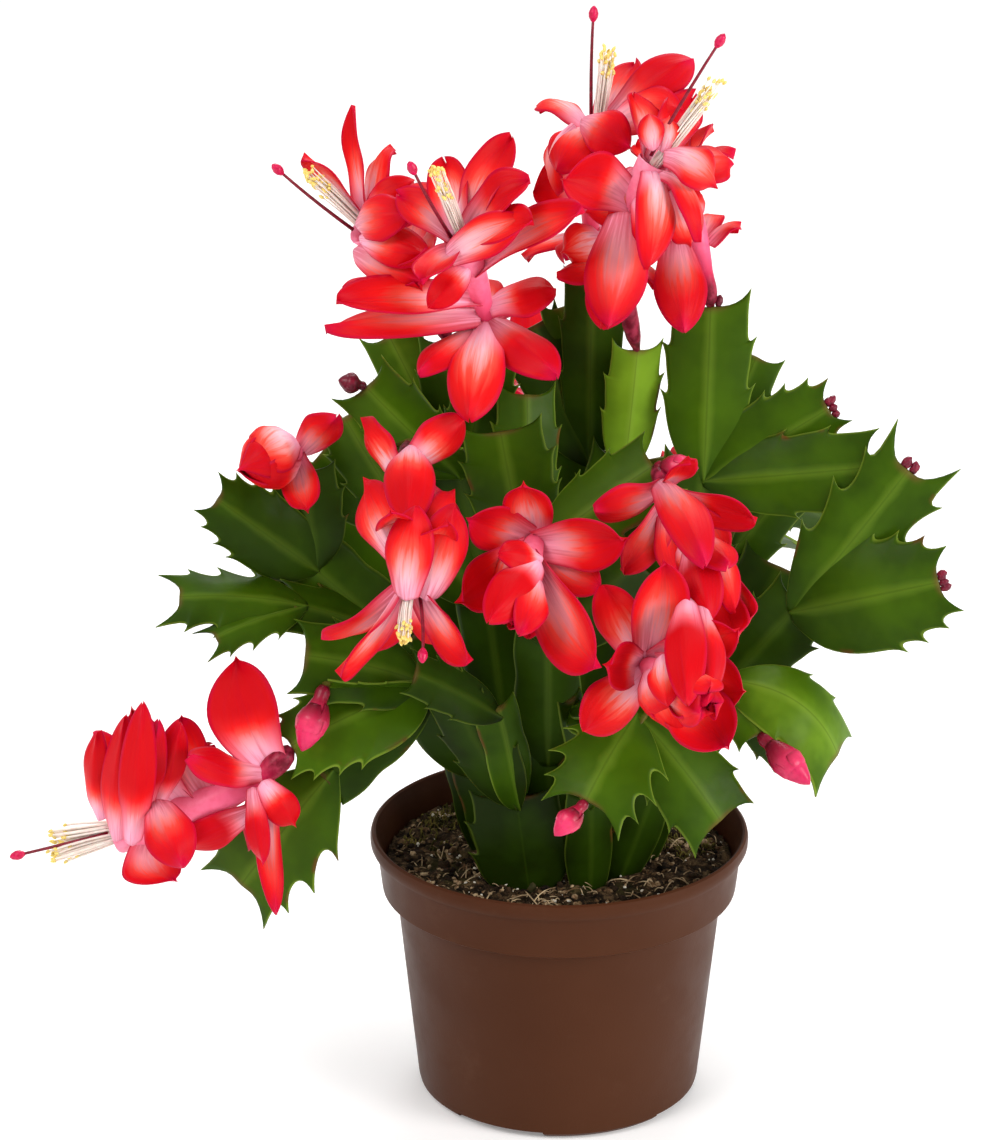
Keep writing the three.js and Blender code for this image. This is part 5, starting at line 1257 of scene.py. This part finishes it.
def make_pot():
    """A wall drawn up from the rim of its foot, closed underneath and inside."""
    radius, height = POT_PROFILE[0]
    bpy.ops.mesh.primitive_circle_add(vertices=POT_SIDES, radius=radius * MM, fill_type="NOTHING",
                                      location=(0.0, 0.0, height * MM))
    pot = open_shape("nursery_pot")
    bpy.ops.mesh.select_all(action="SELECT")
    for (old_radius, old_height), (radius, height) in zip(POT_PROFILE, POT_PROFILE[1:]):
        rise = (height - old_height) * MM
        bpy.ops.mesh.extrude_edges_move(TRANSFORM_OT_translate={"value": (0.0, 0.0, rise)})
        grow_by = radius / old_radius
        bpy.ops.transform.resize(value=(grow_by, grow_by, 1.0), center_override=(0.0, 0.0, height * MM))
    bpy.ops.mesh.edge_face_add()
    pick(pot, lambda point: point.co.z < 1e-6)
    bpy.ops.mesh.edge_face_add()
    bpy.ops.mesh.select_all(action="SELECT")
    bpy.ops.mesh.normals_make_consistent(inside=False)
    close_shape(pot)
    for turn in CHANNEL_TURNS:
        bpy.ops.mesh.primitive_cube_add(size=1.0)
        channel = bpy.context.object
        channel.scale = CHANNEL_SIZE
        channel.rotation_euler = (0.0, 0.0, turn)
        cut_away(pot, channel, CHANNEL_REACH, turn)
        bpy.ops.mesh.primitive_cylinder_add(vertices=24, radius=DRAIN_RADIUS, depth=DRAIN_DEPTH)
        cut_away(pot, bpy.context.object, DRAIN_REACH, turn)
    pot.data.materials.append(pot_finish)
    take(pot)
    bpy.ops.object.shade_smooth_by_angle(angle=math.radians(32))
    dress(pot, "pot", "pot")


# ---- soil -----------------------------------------------------------------------------------

# How far from the middle crumbs and threads may lie.
LITTER_REACH = 53.0
THREAD_REACH = 53.5
# The top of the soil is roughened inside this reach and above this height. The last one is the
# height that counts over a stem's hole, where there is no soil.
ROUGH_REACH = 54.5
ROUGH_HEIGHT = 77.5
SOIL_LEVEL = 79.0
# The crumbs of bark and peat: how many, their sizes, and how flat they are.
CRUMBS = [(1100, (0.4, 1.3), 0.75), (160, (1.2, 2.2), 0.6), (40, (2.0, 3.2), 0.3)]
# The fibres: how many, within which reach, their lengths, height and thickness.
FIBRES = [(340, 52.0, (1.5, 5), 1.6, 0.2), (60, 50.0, (5, 12), 3.0, 0.24)]
# Tufts of moss lie round these turns, in degrees.
MOSS_TUFTS = 34
MOSS_THREADS = 20
MOSS_TURNS = (150, 120, 15)


def make_soil_bed():
    """The packed soil with a lumpy top."""
    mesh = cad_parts["soil"].data.copy()
    bed = bpy.data.objects.new("soil_bed", mesh)
    bpy.context.scene.collection.objects.link(bed)
    take(bed)
    bpy.ops.object.mode_set(mode="EDIT")
    bpy.ops.mesh.select_all(action="SELECT")
    bpy.ops.mesh.remove_doubles(threshold=1e-6)
    close_shape(bed)
    finish_with(bed, "REMESH", mode="VOXEL", voxel_size=1.5 * MM)
    top = bed.vertex_groups.new(name="top")
    places = places_of(bed.data)
    reach = np.hypot(places[:, 0], places[:, 1])
    high = np.flatnonzero((places[:, 2] > ROUGH_HEIGHT * MM) & (reach < ROUGH_REACH * MM))
    top.add(high.tolist(), 1.0, "REPLACE")
    lumps = bpy.data.textures.new("lumps", "CLOUDS")
    lumps.noise_scale = 0.006
    lumps.noise_depth = 3
    finish_with(bed, "DISPLACE", texture=lumps, strength=5.0 * MM, mid_level=0.62, vertex_group="top",
                direction="Z", texture_coords="LOCAL")
    bed.data.materials.clear()
    bed.data.materials.append(soil_finish)
    bpy.ops.object.shade_smooth()
    dress(bed, "soil", "soil")
    faces = [tuple(face.vertices) for face in bed.data.polygons]
    return BVHTree.FromPolygons(places_of(bed.data).tolist(), faces)


def ground_at(bed, x, y):
    """The height of the soil at a place, in millimetres."""
    place = bed.ray_cast(Vector((x * MM, y * MM, 0.12)), Vector((0.0, 0.0, -1.0)))[0]
    return place.z / MM if place else SOIL_LEVEL


def random_place(spread):
    turn = draw.uniform(0, 2 * math.pi)
    reach = spread * math.sqrt(draw.random())
    return reach * math.cos(turn), reach * math.sin(turn)


def make_crumb_pattern():
    bpy.ops.mesh.primitive_ico_sphere_add(subdivisions=1, radius=1.0)
    crumb = open_shape("crumb")
    bpy.ops.mesh.select_all(action="SELECT")
    bpy.ops.transform.vertex_random(offset=0.32, uniform=0.6, seed=7)
    close_shape(crumb)
    put_away(crumb)
    return crumb


def scatter(bed, pattern, count, sizes, flatness, finish):
    """Copies of a crumb all over the soil, each turned its own way and pressed in a little."""
    parts = []
    for _ in range(count):
        x, y = random_place(LITTER_REACH)
        size = draw.uniform(*sizes)
        grain = places_of(pattern.data) * size * np.array([1.0, draw.uniform(0.5, 1.0), flatness])
        turn = Matrix.Rotation(draw.uniform(0, 6.3), 3, "X") @ Matrix.Rotation(draw.uniform(0, 6.3), 3, "Z")
        place = (x, y, ground_at(bed, x, y) + size * flatness * 0.25)
        parts.append(copy_of(pattern, grain @ np.array(turn) + place, finish, tone=draw.random() ** 1.2))
    return parts


def lay_thread(bed, x, y, length, height, radius, finish):
    """A thread that rises from the soil and comes down on it again, if that is short of the wall."""
    turn = draw.uniform(0, 2 * math.pi)
    z = ground_at(bed, x, y)
    end_x, end_y = x + math.cos(turn) * length, y + math.sin(turn) * length
    if math.hypot(end_x, end_y) > THREAD_REACH:
        return []
    end_z = ground_at(bed, end_x, end_y) + draw.uniform(-0.2, 1.0) * height
    bend_x = (x + end_x) / 2 + draw.uniform(-0.3, 0.3) * length
    bend_y = (y + end_y) / 2 + draw.uniform(-0.3, 0.3) * length
    bend_z = max(z, end_z) + draw.uniform(0.1, 1.0) * height
    arc = Arc((x, y, z - 0.2), (bend_x, bend_y, bend_z), (end_x, end_y, end_z))
    return [lay_rod(thread_rod, arc, scaled(FIBRE_PROFILE, radius), finish)]


def make_litter(bed):
    """Crumbs of bark and peat, grit, fibres, and moss in tufts."""
    crumb = make_crumb_pattern()
    crumbs = []
    for count, sizes, flatness in CRUMBS:
        crumbs += scatter(bed, crumb, count, sizes, flatness, crumb_finish)
    dress(join_as("soil_crumbs", crumbs), "soil")
    dress(join_as("white_grit", scatter(bed, crumb, 190, (0.25, 0.85), 0.8, MOTTLED["white_grit"])), "soil")
    fibres = []
    for count, spread, lengths, height, radius in FIBRES:
        for _ in range(count):
            x, y = random_place(spread)
            fibres += lay_thread(bed, x, y, draw.uniform(*lengths), height, radius, MOTTLED["tan_fibre"])
    dress(join_as("soil_fibres", fibres), "soil")
    moss = []
    for _ in range(MOSS_TUFTS):
        turn = math.radians(draw.choice(MOSS_TURNS) + draw.gauss(0, 28))
        reach = draw.uniform(34, 51)
        for _ in range(MOSS_THREADS):
            x = reach * math.cos(turn) + draw.gauss(0, 2.0)
            y = reach * math.sin(turn) + draw.gauss(0, 2.0)
            if math.hypot(x, y) < THREAD_REACH:
                moss += lay_thread(bed, x, y, draw.uniform(0.6, 2.4), 2.2, 0.26, MOTTLED["golden_moss"])
    dress(join_as("soil_moss", moss), "soil")


make_pot()
make_litter(make_soil_bed())

# ---- floor ----------------------------------------------------------------------------------

bpy.ops.mesh.primitive_plane_add(size=12.0, location=(0.0, 0.0, 0.0))
floor = bpy.context.object
floor.name = "floor"
floor.data.materials.append(MOTTLED["pale_floor"])
